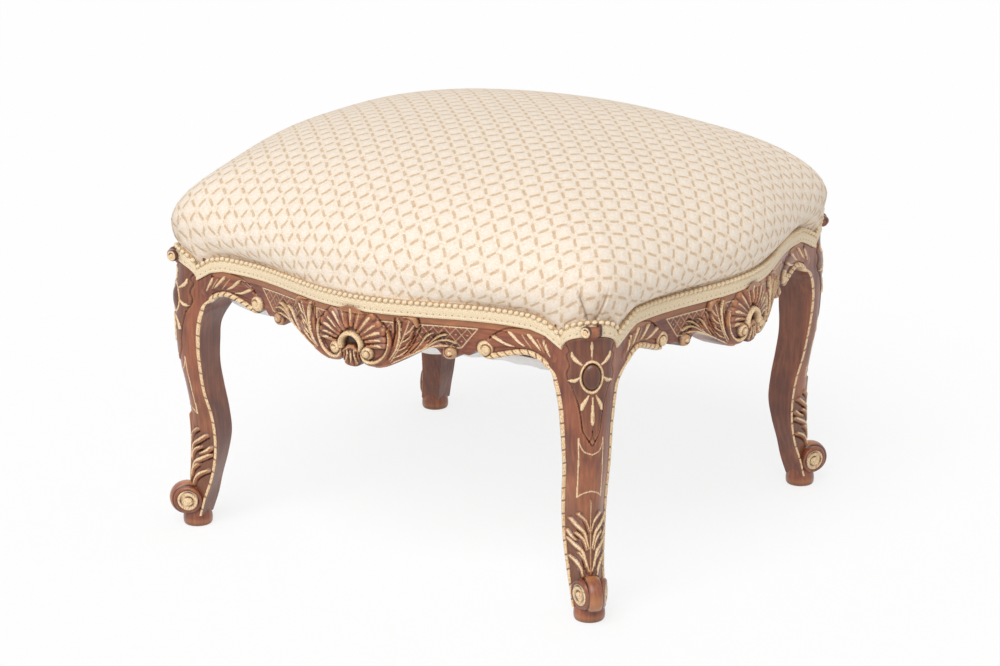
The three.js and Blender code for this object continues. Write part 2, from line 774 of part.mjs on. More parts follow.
// The surface that the webbing follows: flat under the battens, sagging between them
function webHeight(x, y) {
  const angle = Math.atan2(y, x);
  const reach = innerRadius(angle, 0) - BATTEN_THICKNESS - OVERRUN;
  const share = Math.min(Math.hypot(x, y) / reach, 1);
  const level = BATTEN_BOTTOM - FIT - WEB_THICKNESS / 2 - WEB_LIFT;
  return level - WEB_SAG * Math.sqrt(1 - share ** 2);
}

// Over or under at each crossing: a flat lift where the other strap passes, fading out beyond it
function webLift(along, row) {
  let lift = 0;
  for (const column of [-1, 0, 1]) {
    const away = Math.abs(along - column * SPRING_PITCH);
    const fade = (away - WEB_WIDTH / 2) / (SPRING_PITCH / 2 - WEB_WIDTH / 2);
    const share = Math.min(Math.max(fade, 0), 1);
    const sign = (row + column) % 2 === 0 ? 1 : -1;
    lift += sign * WEB_LIFT * (1 + Math.cos(Math.PI * share)) / 2;
  }
  return lift;
}

// Where a strap has its points: at the edges and middle of each crossing, on the way up to the batten
// and at both edges of the batten
function webStations(end) {
  const flat = end - BATTEN_THICKNESS;
  const last = SPRING_PITCH + SPRING_END_RADIUS + 2 * WIRE_RADIUS;
  const edges = [SPRING_PITCH - WEB_WIDTH / 2, SPRING_PITCH, SPRING_PITCH + WEB_WIDTH / 2];
  const half = [WEB_WIDTH / 2, ...edges, last];
  WEB_TURN_SHARES.forEach((share) => half.push(last + (flat - last) * share));
  half.push(flat, end);
  return [...half.map((along) => -along).reverse(), 0, ...half];
}

// A strap in the frame of the rail that it runs towards: Y runs along the strap
function webGeometry(rail, row, isUpper) {
  const middle = row * SPRING_PITCH;
  const end = faceOf(rail, middle) - RAIL_THICKNESS - WEB_END_MARGIN;
  const rings = webStations(end).map((along) => {
    const lift = webLift(along, row) * (isUpper ? 1 : -1);
    const isTacked = Math.abs(along) >= end - BATTEN_THICKNESS;
    const point = (share, side) => {
      const x = middle + (share * WEB_WIDTH) / 2;
      const sagging = rail === FRONT ? webHeight(x, along) : webHeight(along, x);
      const height = isTacked ? BATTEN_BOTTOM - FIT - WEB_THICKNESS / 2 : sagging + lift;
      return new THREE.Vector3(x, along, height + (side * WEB_THICKNESS) / 2);
    };
    return [point(-1, -1), point(1, -1), point(1, 1), point(-1, 1)];
  });
  return loft(rings);
}

// Spring canvas, the surface that the springs push up

function canvasHeight(x, y) {
  const reach = (showRadius(Math.atan2(y, x)) - CANVAS_INSET) * CANVAS_FLAT_SHARE;
  const share = Math.min(Math.hypot(x, y) / reach, 1);
  return FRAME_TOP + FIT + CANVAS_RISE * (1 - share ** CROWN_POWER) ** 0.75;
}

function canvasGeometry() {
  const stack = (lift) => {
    const rings = CANVAS_RING_SHARES.map((share) => coarseOutline.map((p) => {
      const angle = Math.atan2(p.y, p.x);
      const radius = (showRadius(angle) - CANVAS_INSET) * share;
      const point = around(angle, radius, 0);
      point.z = canvasHeight(point.x, point.y) + lift;
      return point;
    }));
    return [...rings, [new THREE.Vector3(0, 0, canvasHeight(0, 0) + lift)]];
  };
  return layered(stack(CANVAS_THICKNESS), stack(0));
}

// Springs and twine

function upperTwineHeight(x, y) {
  return canvasHeight(x, y) - CANVAS_GAP - TWINE_RADIUS;
}

function lowerTwineHeight(x, y) {
  return upperTwineHeight(x, y) - 2 * TWINE_RADIUS - TWINE_GAP;
}

function springGeometry(x0, y0) {
  const steps = SPRING_TURNS * SPRING_TURN_STEPS;
  const path = [];
  for (let i = 0; i <= steps; i += 1) {
    const turn = i / SPRING_TURN_STEPS;
    const angle = 2 * Math.PI * turn;
    const rising = (turn - SPRING_FLAT_SHARE) / (SPRING_TURNS - 2 * SPRING_FLAT_SHARE);
    const height = Math.min(Math.max(rising, 0), 1);
    const waist = Math.sin(Math.PI * height);
    const radius = SPRING_END_RADIUS + (SPRING_WAIST_RADIUS - SPRING_END_RADIUS) * waist;
    const x = x0 + radius * Math.cos(angle);
    const y = y0 + radius * Math.sin(angle);
    const low = webHeight(x, y) + WEB_LIFT + WEB_THICKNESS / 2 + SPRING_SEAT_GAP + WIRE_RADIUS;
    const high = lowerTwineHeight(x, y) - TWINE_RADIUS - TWINE_GAP - WIRE_RADIUS;
    path.push(new THREE.Vector3(x, y, low + (high - low) * height));
  }
  return wire(path, WIRE_RADIUS, SPRING_WIRE_SIDES);
}

// One line of twine: tacked on a batten, led over a row of springs and tacked on the opposite batten
function twineGeometry(rail, row) {
  const middle = row * SPRING_PITCH;
  const surface = rail === FRONT ? (along) => lowerTwineHeight(middle, along)
    : (along) => upperTwineHeight(along, middle);
  const tack = faceOf(rail, middle) - RAIL_THICKNESS - BATTEN_THICKNESS / 2;
  const tackHeight = BATTEN_BOTTOM + BATTEN_HEIGHT + FIT + TWINE_RADIUS;
  const reach = SPRING_PITCH + SPRING_END_RADIUS;
  const over = [];
  for (let i = 0; i <= TWINE_STEPS; i += 1) {
    const along = reach * ((2 * i) / TWINE_STEPS - 1);
    over.push(new THREE.Vector3(middle, along, surface(along)));
  }
  const tackPoint = (side, share) => {
    return new THREE.Vector3(middle, side * (tack + (share * BATTEN_THICKNESS) / 4), tackHeight);
  };
  const path = [
    tackPoint(-1, 1),
    tackPoint(-1, -1),
    ...over,
    tackPoint(1, -1),
    tackPoint(1, 1),
  ];
  return wire(path, TWINE_RADIUS, TWINE_SIDES);
}

// Seat: the cover's outer surface, and layers under it at a distance along its normals

// Distance from the middle to the line of a rounded rectangle in a direction
function roundedSquare(angle, halfWidth, halfDepth, squareness) {
  const across = Math.abs(Math.cos(angle)) / halfWidth;
  const deep = Math.abs(Math.sin(angle)) / halfDepth;
  return (across ** squareness + deep ** squareness) ** (-1 / squareness);
}

// The widest line of the seat: partly a rounded square, partly the line of the rails below it
function waistRadius(angle) {
  const square = roundedSquare(angle, SEAT_HALF_WIDTH, SEAT_HALF_DEPTH, SEAT_SQUARENESS);
  const follow = showRadius(angle) + SEAT_OVERHANG;
  return follow * RAIL_FOLLOW_SHARE + square * (1 - RAIL_FOLLOW_SHARE);
}

// Above it the seat rises to the crown, growing rounder in plan
function crownPoint(angle, share) {
  const top = roundedSquare(angle, SEAT_HALF_WIDTH, SEAT_HALF_DEPTH, CROWN_SQUARENESS);
  const radius = (top + (waistRadius(angle) - top) * share ** 2) * share;
  const rise = (1 - share ** CROWN_POWER) ** (1 / CROWN_ROUNDING);
  return around(angle, radius, WAIST_HEIGHT + (APEX_HEIGHT - WAIST_HEIGHT) * rise);
}

// Where the braid's upper edge lies over a point of the outline: the cover is drawn in down to there
function braidTop(p) {
  return p.z + BRAID_HEIGHT + COVER_HEM;
}

// Rings of the cover's outer surface: the skirt, drawn in below the waist to the tacking line on the
// rails, then the crown
function seatRings(outline, skirtHeights, crownShares) {
  const tacked = outline.map((p, i) => p.clone().addScaledVector(outwardAt(outline, i), -COVER_INSET));
  const angles = outline.map((p) => Math.atan2(p.y, p.x));
  const rings = skirtHeights.map((height) => tacked.map((p, i) => {
    const z = height(outline[i]);
    const drawn = WAIST_HEIGHT - braidTop(outline[i]);
    const share = Math.min((WAIST_HEIGHT - z) / drawn, 1);
    const swell = (1 + Math.cos(Math.PI * share)) / 2;
    const widest = around(angles[i], waistRadius(angles[i]), z);
    return p.clone().setZ(z).lerp(widest, swell);
  }));
  crownShares.forEach((share) => rings.push(angles.map((angle) => crownPoint(angle, share))));
  rings.push([new THREE.Vector3(0, 0, APEX_HEIGHT)]);
  return rings;
}

// Moves each ring inwards along the surface normal by the given depth, the first ring level
function sunkRings(rings, depth) {
  return rings.map((ring, i) => ring.map((point, j) => {
    if (ring.length === 1) return point.clone().setZ(point.z - depth);
    const count = ring.length;
    const onward = ring[(j + 1) % count].clone().sub(ring[(j + count - 1) % count]);
    const above = rings[i + 1];
    const climb = above[above.length === 1 ? 0 : j].clone().sub(rings[Math.max(i - 1, 0)][j]);
    const normal = onward.cross(climb);
    if (i === 0) normal.setZ(0);
    return point.clone().addScaledVector(normal.normalize(), -depth);
  }));
}

function coverGeometry() {
  const skirt = [
    (p) => p.z + COVER_HEM,
    (p) => braidTop(p),
    (p) => (WAIST_HEIGHT + braidTop(p)) / 2,
  ];
  const outer = seatRings(fineOutline, skirt, COVER_CROWN_SHARES);
  return layered(outer, sunkRings(outer, COVER_THICKNESS));
}

function waddingGeometry() {
  const surface = seatRings(coarseOutline, [() => FRAME_TOP + FIT], PAD_CROWN_SHARES);
  const lower = sunkRings(surface, WADDING_OFFSET + WADDING_THICKNESS);
  return layered(sunkRings(surface, WADDING_OFFSET), lower);
}

function stuffingGeometry() {
  const base = FRAME_TOP + 2 * FIT + CANVAS_THICKNESS;
  const surface = seatRings(coarseOutline, [() => base], PAD_CROWN_SHARES);
  const upper = sunkRings(surface, STUFFING_OFFSET);
  const lift = CANVAS_THICKNESS + CANVAS_GAP;
  const lower = CANVAS_RING_SHARES.slice(1).map((share) => upper[0].map((p) => {
    const point = new THREE.Vector3(p.x * share, p.y * share, 0);
    return point.setZ(canvasHeight(point.x, point.y) + lift);
  }));
  lower.push([new THREE.Vector3(0, 0, canvasHeight(0, 0) + lift)]);
  return layered(upper, lower);
}

// Braid: a flat gimp with a beaded upper edge, running round the whole stool
function braidGeometry() {
  const rings = fineOutline.map((p, i) => {
    const normal = outwardAt(fineOutline, i);
    return BRAID_SECTION_SHARES.map(([out, up]) => {
      const point = p.clone().addScaledVector(normal, out * BRAID_THICKNESS - BRAID_INSET);
      return point.setZ(p.z + 2 * FIT + up * BRAID_HEIGHT);
    });
  });
  const rolls = legPlaces.flatMap(({ turn, x, y }) => kneeRoll(2 * FIT).map((piece) => {
    return toSquare(piece).rotateZ(turn).translate(x, y, 0);
  }));
  return cut(loft(rings, true), rolls);
}

// Bottom cloth

// Its upper face: level where it is tacked under the battens, slack between them
function clothHeight(angle, radius) {
  const reach = roundedSquare(angle, inner(SIDE), inner(FRONT), CLOTH_SQUARENESS);
  const share = Math.min(radius / reach, 1);
  return CLOTH_TOP - CLOTH_SAG * (1 - share ** 2) ** CLOTH_SLACKNESS;
}

// How far out the battens' inner sides lie at the middle of a rail
function inner(rail) {
  return rail.face + rail.bow - RAIL_THICKNESS - BATTEN_THICKNESS;
}

function clothGeometry() {
  const stack = (lift) => {
    const rings = CLOTH_RING_SHARES.map((share) => coarseOutline.map((p) => {
      const angle = Math.atan2(p.y, p.x);
      const radius = innerRadius(angle, CLOTH_MARGIN) * share;
      return around(angle, radius, clothHeight(angle, radius) + lift);
    }));
    return [...rings, [new THREE.Vector3(0, 0, clothHeight(0, 0) + lift)]];
  };
  return layered(stack(0), stack(-CLOTH_THICKNESS));
}

// Assembly

const legPlaces = [
  { name: 'back_right', x: LEG_X, y: LEG_Y, turn: 0 },
  { name: 'back_left', x: -LEG_X, y: LEG_Y, turn: Math.PI / 2 },
  { name: 'front_left', x: -LEG_X, y: -LEG_Y, turn: Math.PI },
  { name: 'front_right', x: LEG_X, y: -LEG_Y, turn: -Math.PI / 2 },
];

const sides = [
  { name: 'back', rail: FRONT, turn: 0 },
  { name: 'left', rail: SIDE, turn: Math.PI / 2 },
  { name: 'front', rail: FRONT, turn: Math.PI },
  { name: 'right', rail: SIDE, turn: -Math.PI / 2 },
];

const stool = new THREE.Group();

function add(parent, name, geometry, color, roughness, metalness = 0) {
  const material = new THREE.MeshStandardMaterial({ color, roughness, metalness });
  const mesh = new THREE.Mesh(geometry, material);
  mesh.name = name;
  parent.add(mesh);
  return mesh;
}

const leg = legGeometry();
const block = blockGeometry();
const screw = screwGeometry();
for (const { name, x, y, turn } of legPlaces) {
  const corner = new THREE.Group();
  corner.position.set(x, y, 0);
  corner.rotation.z = turn;
  stool.add(corner);
  add(corner, `${name}_leg`, leg, COLOURS.carvedWood, 0.4);
  add(corner, `${name}_corner_block`, block, COLOURS.plainWood, 0.7);
  add(corner, `${name}_block_screw_1`, screw, COLOURS.metal, 0.35, 1);
  const second = mirroredAcrossDiagonal(screw.clone());
  add(corner, `${name}_block_screw_2`, second, COLOURS.metal, 0.35, 1);
}

for (const { name, rail, turn } of sides) {
  const side = new THREE.Group();
  side.rotation.z = turn;
  stool.add(side);
  add(side, `${name}_rail`, railGeometry(rail), COLOURS.carvedWood, 0.4);
  add(side, `${name}_batten`, battenGeometry(rail), COLOURS.plainWood, 0.7);
}

const rows = [
  { name: '1', row: -1 },
  { name: '2', row: 0 },
  { name: '3', row: 1 },
];
const acrossStool = new THREE.Group();
acrossStool.rotation.z = -Math.PI / 2;
stool.add(acrossStool);
for (const { name, row } of rows) {
  add(stool, `webbing_front_to_back_${name}`, webGeometry(FRONT, row, true), COLOURS.webbing, 0.9);
  add(acrossStool, `webbing_side_to_side_${name}`, webGeometry(SIDE, row, false), COLOURS.webbing, 0.9);
  add(stool, `twine_front_to_back_${name}`, twineGeometry(FRONT, row), COLOURS.canvas, 0.9);
  add(acrossStool, `twine_side_to_side_${name}`, twineGeometry(SIDE, row), COLOURS.canvas, 0.9);
  for (const other of rows) {
    const spring = springGeometry(row * SPRING_PITCH, other.row * SPRING_PITCH);
    add(stool, `spring_${name}_${other.name}`, spring, COLOURS.metal, 0.4, 1);
  }
}

add(stool, 'spring_canvas', canvasGeometry(), COLOURS.canvas, 0.95);
add(stool, 'hair_stuffing', stuffingGeometry(), COLOURS.stuffing, 1);
add(stool, 'wadding', waddingGeometry(), COLOURS.wadding, 1);
add(stool, 'top_cover', coverGeometry(), COLOURS.cover, 0.85);
add(stool, 'braid', braidGeometry(), COLOURS.braid, 0.8);
add(stool, 'bottom_cloth', clothGeometry(), COLOURS.cloth, 0.95);

export default stool;
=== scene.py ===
import math

import bpy
import numpy as np
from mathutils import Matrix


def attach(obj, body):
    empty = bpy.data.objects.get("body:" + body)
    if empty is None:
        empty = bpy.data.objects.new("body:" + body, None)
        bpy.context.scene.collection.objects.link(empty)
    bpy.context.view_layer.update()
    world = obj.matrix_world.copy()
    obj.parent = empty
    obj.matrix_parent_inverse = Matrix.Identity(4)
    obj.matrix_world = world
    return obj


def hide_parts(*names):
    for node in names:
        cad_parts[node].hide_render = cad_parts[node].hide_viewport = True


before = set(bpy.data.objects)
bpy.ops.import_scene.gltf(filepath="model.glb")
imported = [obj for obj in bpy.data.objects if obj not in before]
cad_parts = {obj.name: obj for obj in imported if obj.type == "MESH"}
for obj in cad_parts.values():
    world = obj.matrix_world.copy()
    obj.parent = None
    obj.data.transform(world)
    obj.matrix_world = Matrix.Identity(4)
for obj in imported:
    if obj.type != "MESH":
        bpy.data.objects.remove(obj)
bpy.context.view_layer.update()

# The camera stands to the right of the front and a little above the seat, far off with a long lens.
# Its place was fitted to the feet, knees and rail ends, so it needs no shift.
CAMERA_PLACE = (1.615806, -2.541543, 1.136039)
CAMERA_AZIMUTH = 32.545
CAMERA_ELEVATION = 17.292
camera_data = bpy.data.cameras.new("camera")
camera_data.sensor_width = 36
camera_data.lens = 103.03
camera = bpy.data.objects.new("camera", camera_data)
camera.location = CAMERA_PLACE
camera.rotation_euler = (math.radians(90 - CAMERA_ELEVATION), 0, math.radians(CAMERA_AZIMUTH))
bpy.context.collection.objects.link(camera)
bpy.context.scene.camera = camera

# Legs: each is one square length of walnut, sawn to an S with flat sides. The outer corner is carved
# into a knee with a cabochon, a leaf above the foot, a scrolled toe and a round foot block. Flutes,
# rays, leaf veins and the roped edge are picked out in pale gold paint.
FRAME_HALF_WIDTH = 268
FRAME_HALF_DEPTH = 252
SHOW_TOP = 300
FRAME_TOP = 322
REBATE = 5.4
LEG_INSET = 17.4
LEG_X = FRAME_HALF_WIDTH - LEG_INSET
LEG_Y = FRAME_HALF_DEPTH - LEG_INSET
KNEE_HALF_WIDTH = 27
KNEE_RADIUS = 32.5
KNEE_ANGLE = math.radians(56.2)
KNEE_ARCH = 17
KNEE_TOP = 285
KNEE_FULLNESS = 2.3
FLANK_TOP = 296.25
ROOT_HALF = math.sqrt(0.5)
# Every knee faces a little more to the stool's front or back than its corner does
KNEE_TURN = math.radians(4.5)
KNEE_SHIFT = KNEE_HALF_WIDTH * math.sin(KNEE_TURN)
KNEE_CHORD = LEG_INSET / ROOT_HALF - KNEE_HALF_WIDTH * math.cos(KNEE_TURN)
# Height, then how far out the ridge, the edge and the inner corner lie, half the width and the flank
LEG_LEVELS = np.array([
    [13.5, 4.8, 0, -16.8, 15.2, 3],
    [33, 6, -4.8, -23.4, 16, 3.4],
    [55, 4.2, -12, -28.5, 16.9, 4.1],
    [80, 2.7, -16.5, -35.4, 18.6, 4.4],
    [105, 2.1, -17.1, -39.9, 19.7, 4.5],
    [130, 3.6, -14.1, -38.1, 20.6, 4.5],
    [160, 8.1, -6.3, -33, 21.3, 4.5],
    [185, 12.9, -2.1, -29.5, 22.1, 5.1],
    [210, 15.3, 0.9, -30, 23.1, 5.7],
    [235, 15.9, 1.2, -33.6, 24.8, 7],
    [250, 15.9, 0, -43.2, 26, 9.6],
    [261, 15.7, -1.2, -53.1, 26.8, 15.6],
    [266.7, 15.6, -2.39, -60.2, 27, 21.8],
    [275, 14.4, -2.39, -60.2, 27, 21.8],
    [285, 12.4, -2.39, -60.2, 27, 21.8],
    [302, 12, -2.39, -60.2, 27, 21.8],
])
# Height, then how far the turned leg's middle has moved over
KNEE_SLIDE = np.array([
    (0, 0), (45, 1.2), (125, 1.7), (165, 2.2), (206, 3.9), (247, 3.9), (266.7, KNEE_SHIFT)])
# How far the carver's sunk ground lies below the show face
GROUND_DEPTH = 1.2


def unit(value):
    """A value held between 0 and 1."""
    return np.clip(value, 0, 1)


def curve_through(at, stations, values):
    """A smooth curve through given values, read at the given places."""
    stations, values = np.asarray(stations, float), np.asarray(values, float)
    slope = np.gradient(values, stations)
    i = np.clip(np.searchsorted(stations, at, side="right") - 1, 0, len(stations) - 2)
    width = stations[i + 1] - stations[i]
    t = unit((at - stations[i]) / width)
    start = (1 + 2 * t) * (1 - t) ** 2 * values[i] + t * (1 - t) ** 2 * width * slope[i]
    return start + t * t * (3 - 2 * t) * values[i + 1] + t * t * (t - 1) * width * slope[i + 1]


def beside(places, line):
    """Where places lie beside a drawn line of (across, up, half width): how far off as a share of the
    half width, on which side, and how far along."""
    line = np.array(line, float)
    if len(line) > 2:
        fine = np.linspace(0, len(line) - 1, 5 * (len(line) - 1) + 1)
        line = np.column_stack([curve_through(fine, np.arange(len(line)), c) for c in line.T])
    start, step = line[:-1], np.diff(line, axis=0)
    away = places[:, None] - start[:, :2]
    length = np.hypot(step[:, 0], step[:, 1])
    share = unit((away * step[:, :2]).sum(2) / length ** 2)
    gap = away - share[..., None] * step[:, :2]
    far = np.hypot(gap[..., 0], gap[..., 1]) / np.maximum(start[:, 2] + share * step[:, 2], 0.05)
    near = far.argmin(1)
    pick = np.arange(len(places)), near
    side = np.sign(step[near, 0] * gap[pick][:, 1] - step[near, 1] * gap[pick][:, 0])
    along = (np.cumsum(length) - length)[near] + share[pick] * length[near]
    return far[pick], side, along


def carve(ground, places, strokes):
    """Cuts strokes into a ground: each row is its form, height, gold share and drawn line. Returns the
    relief in millimetres and where the gold paint lies."""
    shape = ground.shape
    relief, gold = ground.ravel().copy(), np.zeros(ground.size)
    places = places.reshape(-1, 2)
    for form, height, paint, line in strokes:
        drawn = np.array(line, float)
        reach = drawn[:, 2].max() + 0.5
        low, high = drawn[:, :2].min(0) - reach, drawn[:, :2].max(0) + reach
        near = np.flatnonzero(((places > low) & (places < high)).all(1))
        if not len(near):
            continue
        far, side, along = beside(places[near], line)
        share = unit(1 - far ** 2)
        if form == "cut":
            relief[near] -= height * share
            gold[near] *= 1 - share
            continue
        rise = share ** (0.12 if form == "flat" else 0.5)
        if form in ROPES:
            pitch, lean = ROPES[form]
            turn = (along / pitch + lean * side * far) % 1 - 0.5
            notch = np.exp(-(turn * pitch / 0.8) ** 2)
            rise, paint = rise * (1 - 0.45 * notch), paint * (1 - notch)
        top = -GROUND_DEPTH + (height + GROUND_DEPTH) * rise
        wins = (top > relief[near]) & (share > 0)
        relief[near[wins]] = top[wins]
        gold[near[wins]] = (paint * unit(share * 5))[wins]
    return relief.reshape(shape), gold.reshape(shape)


def volute(across, up, radius, height, turns, start, paint=1.0):
    """A snail of a scroll: a dome with a spiral groove that winds in from the start angle."""
    angle = np.radians(start) + np.linspace(0, 2 * math.pi * turns, 22)
    reach = np.linspace(0.98, 0.22, len(angle)) * radius
    spiral = [(across + r * math.cos(a), up + r * math.sin(a), 0.9) for a, r in zip(angle, reach)]
    dome, boss = ([(across, up, r), (across + 0.1, up, r)] for r in (radius, radius * 0.5))
    return [("round", height, paint, dome), ("cut", 1.6, 0, spiral), ("round", height + 0.5, 1, boss)]


def blurred(relief, cells):
    """The mean of the relief over a patch of its grid."""
    for axis in (0, 1):
        relief = sum(np.roll(relief, k, axis) for k in range(-cells, cells + 1)) / (2 * cells + 1)
    return relief


def outward(grid):
    """Unit normals of a grid of points whose rows are rings."""
    across = np.roll(grid, -1, 1) - np.roll(grid, 1, 1)
    normal = np.cross(across, np.gradient(grid, axis=0))
    return normal / np.maximum(np.linalg.norm(normal, axis=2, keepdims=True), 1e-9)


def standing(grid, x, y, turn):
    """A grid of points turned about the upright axis and set at its place."""
    c, s = math.cos(turn), math.sin(turn)
    return np.stack([
        c * grid[..., 0] - s * grid[..., 1] + x,
        s * grid[..., 0] + c * grid[..., 1] + y,
        grid[..., 2],
    ], -1)


class Shape:
    """The skin of a piece in millimetres, with what is noted at each point for its finish."""

    def __init__(self):
        self.points, self.faces, self.notes, self.count = [], [], [], 0

    def add(self, grid, closed=True, **notes):
        rows, columns = grid.shape[:2]
        row, column = np.meshgrid(np.arange(rows - 1), np.arange(columns), indexing="ij")
        onward = (column + 1) % columns
        quads = np.stack([
            row * columns + column,
            row * columns + onward,
            (row + 1) * columns + onward,
            (row + 1) * columns + column,
        ], -1).reshape(-1, 4)
        faces = quads.tolist()
        if closed:
            ends = np.arange(columns)
            faces += [ends[::-1].tolist(), (ends + (rows - 1) * columns).tolist()]
        # Every face must look outwards, so a form that comes out inside out is turned about
        a, b, c, d = (grid.reshape(-1, 3)[quads[:, k]] - grid.mean((0, 1)) for k in range(4))
        if (np.cross(b - a, d - b) * (a + c)).sum() < 0:
            faces = [face[::-1] for face in faces]
        self.faces += [[corner + self.count for corner in face] for face in faces]
        self.points.append(grid.reshape(-1, 3))
        self.notes.append(notes)
        self.count += rows * columns

    def piece(self, name, material, slot, *nodes):
        """Makes the Blender object, which stands for the named nodes of the frame."""
        mesh = bpy.data.meshes.new(name)
        mesh.from_pydata((np.concatenate(self.points) / 1000).tolist(), [], self.faces)
        for note in self.notes[0]:
            width = self.notes[0][note].shape[2:]
            kind, field = ("FLOAT_VECTOR", "vector") if width else ("FLOAT", "value")
            values = [n[note].reshape(-1, *width) for n in self.notes]
            mesh.attributes.new(note, kind, "POINT").data.foreach_set(
                field, np.concatenate(values).astype(np.float32).ravel())
        mesh.shade_smooth()
        mesh.set_sharp_from_angle(angle=math.radians(55))
        mesh.materials.append(material)
        made = bpy.data.objects.new(name, mesh)
        bpy.context.collection.objects.link(made)
        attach(made, "root")
        if nodes:
            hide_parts(*nodes)
        return made


def colour(code):
    """An sRGB hex colour as Blender's linear one."""
    parts = [int(code[k:k + 2], 16) / 255 for k in (1, 3, 5)]
    return (*(p / 12.92 if p <= 0.04045 else ((p + 0.055) / 1.055) ** 2.4 for p in parts), 1)


def add(tree, kind, links=(), stops=(), **settings):
    """Adds a node with its settings, colour stops and links. A node given as a link stands for its
    first live output."""
    node = tree.nodes.new("ShaderNode" + kind)
    for name, value in settings.items():
        setattr(node, name, value)
    for number, (place, code) in enumerate(stops):
        elements = node.color_ramp.elements
        element = elements[number] if number < 2 else elements.new(place)
        element.position, element.color = place, colour(code)
    for socket, value in (links if isinstance(links, dict) else dict(enumerate(links))).items():
        if isinstance(value, bpy.types.Node):
            value = next(output for output in value.outputs if output.enabled)
        if isinstance(value, bpy.types.NodeSocket):
            tree.links.new(value, node.inputs[socket])
        else:
            node.inputs[socket].default_value = value
    return node


def blank_material(name):
    """A new material and its emptied tree."""
    material = bpy.data.materials.new(name)
    material.use_nodes = True
    material.node_tree.nodes.clear()
    return material, material.node_tree


# French-polished walnut with pale gold paint. The polish gives soft bright streaks on the round forms; dark
# wax and painted shade in the cuts draw every carved line dark, and wear and painted highlights lighten the
# raised carving. Along the grain are growth bands about 3 mm apart, pores 0.4 mm wide and specks about 1 mm
# across, where the paint is rubbed through.
walnut, tree = blank_material("french_polished_walnut")
stock = add(tree, "Attribute", attribute_name="stock").outputs["Vector"]
gilt, wax, wear = (
    add(tree, "Attribute", attribute_name=name).outputs["Fac"] for name in ("gilt", "wax", "wear"))
noises = []
for stretch, detail in (((0.012, 0.3, 0.3), 4), ((0.09, 2.4, 2.4), 2), ((0.5, 0.9, 0.9), 4)):
    drawn_out = add(tree, "VectorMath", [stock, stretch], operation="MULTIPLY")
    noises.append(add(tree, "TexNoise", {"Vector": drawn_out, "Scale": 1, "Detail": detail}))
bands, pores, specks = noises
clouds = add(tree, "TexNoise", {"Vector": stock, "Scale": 0.03, "Detail": 2})
banded = add(tree, "ValToRGB", [bands], [(0.3, "#5e2a1a"), (0.5, "#80422c"), (0.68, "#a05c38")])
clouded = add(tree, "ValToRGB", [clouds], [(0.35, "#5a2a1c"), (0.65, "#b26c48")])
wood = add(tree, "Mix", {0: 0.35, 6: banded, 7: clouded}, data_type="RGBA")
open_pores = add(tree, "MapRange", [pores, 0.3, 0.42, 0.5, 0])
wood = add(tree, "Mix", {0: open_pores, 6: wood, 7: colour("#4a2418")}, data_type="RGBA")
# Wear and painted highlights lighten the raised carving.
rubbed_and_highlit = add(tree, "Math", [wear, 0.5], operation="MULTIPLY")
wood = add(tree, "Mix", {0: rubbed_and_highlit, 6: wood, 7: colour("#d6955f")}, data_type="RGBA")
# Dark wax and painted shade darken the cuts and hollows.
wood = add(tree, "Mix", {0: wax, 6: wood, 7: colour("#341a12")}, data_type="RGBA")
paint = add(tree, "ValToRGB", [specks], [(0.35, "#d0a070"), (0.5, "#eecfa0"), (0.7, "#f9e5c4")])
rubbed = add(tree, "MapRange", [specks, 0.27, 0.35, 0, 1])
painted = add(tree, "Math", [gilt, rubbed], operation="MULTIPLY")
shown = add(tree, "Mix", {0: painted, 6: wood, 7: paint}, data_type="RGBA")
# The same dark wax and painted shade darken the gold paint too.
wax_and_shade_over_paint = add(tree, "Math", [wax, 0.5], operation="MULTIPLY")
shown = add(tree, "Mix", {0: wax_and_shade_over_paint, 6: shown, 7: colour("#4a2c1a")}, data_type="RGBA")
gloss = add(tree, "Math", [clouds, 0.16, 0.26], operation="MULTIPLY_ADD")
gloss = add(tree, "Math", [painted, 0.14, gloss], operation="MULTIPLY_ADD")
waves = add(tree, "TexNoise", {"Vector": stock, "Scale": 0.22, "Detail": 3})
hand = add(tree, "Math", [pores, 0.5, waves], operation="MULTIPLY_ADD")
polished = add(tree, "Bump", {"Height": hand, "Strength": 0.25, "Distance": 0.0004})
surface = add(tree, "BsdfPrincipled", {
    "Base Color": shown, "Roughness": gloss, "Normal": polished, "IOR": 1.5,
    "Coat Weight": 0.3, "Coat Roughness": 0.16, "Coat IOR": 1.5})
add(tree, "OutputMaterial", {"Surface": surface})

FRONT_COLUMNS = 93
FLANK_COLUMNS = 20
ROW_STEP = 0.85
# The repeat of a roped form in millimetres, and how far its cuts lean
ROPES = {"rope": (8, 0.3), "band": (14.5, 0.05)}
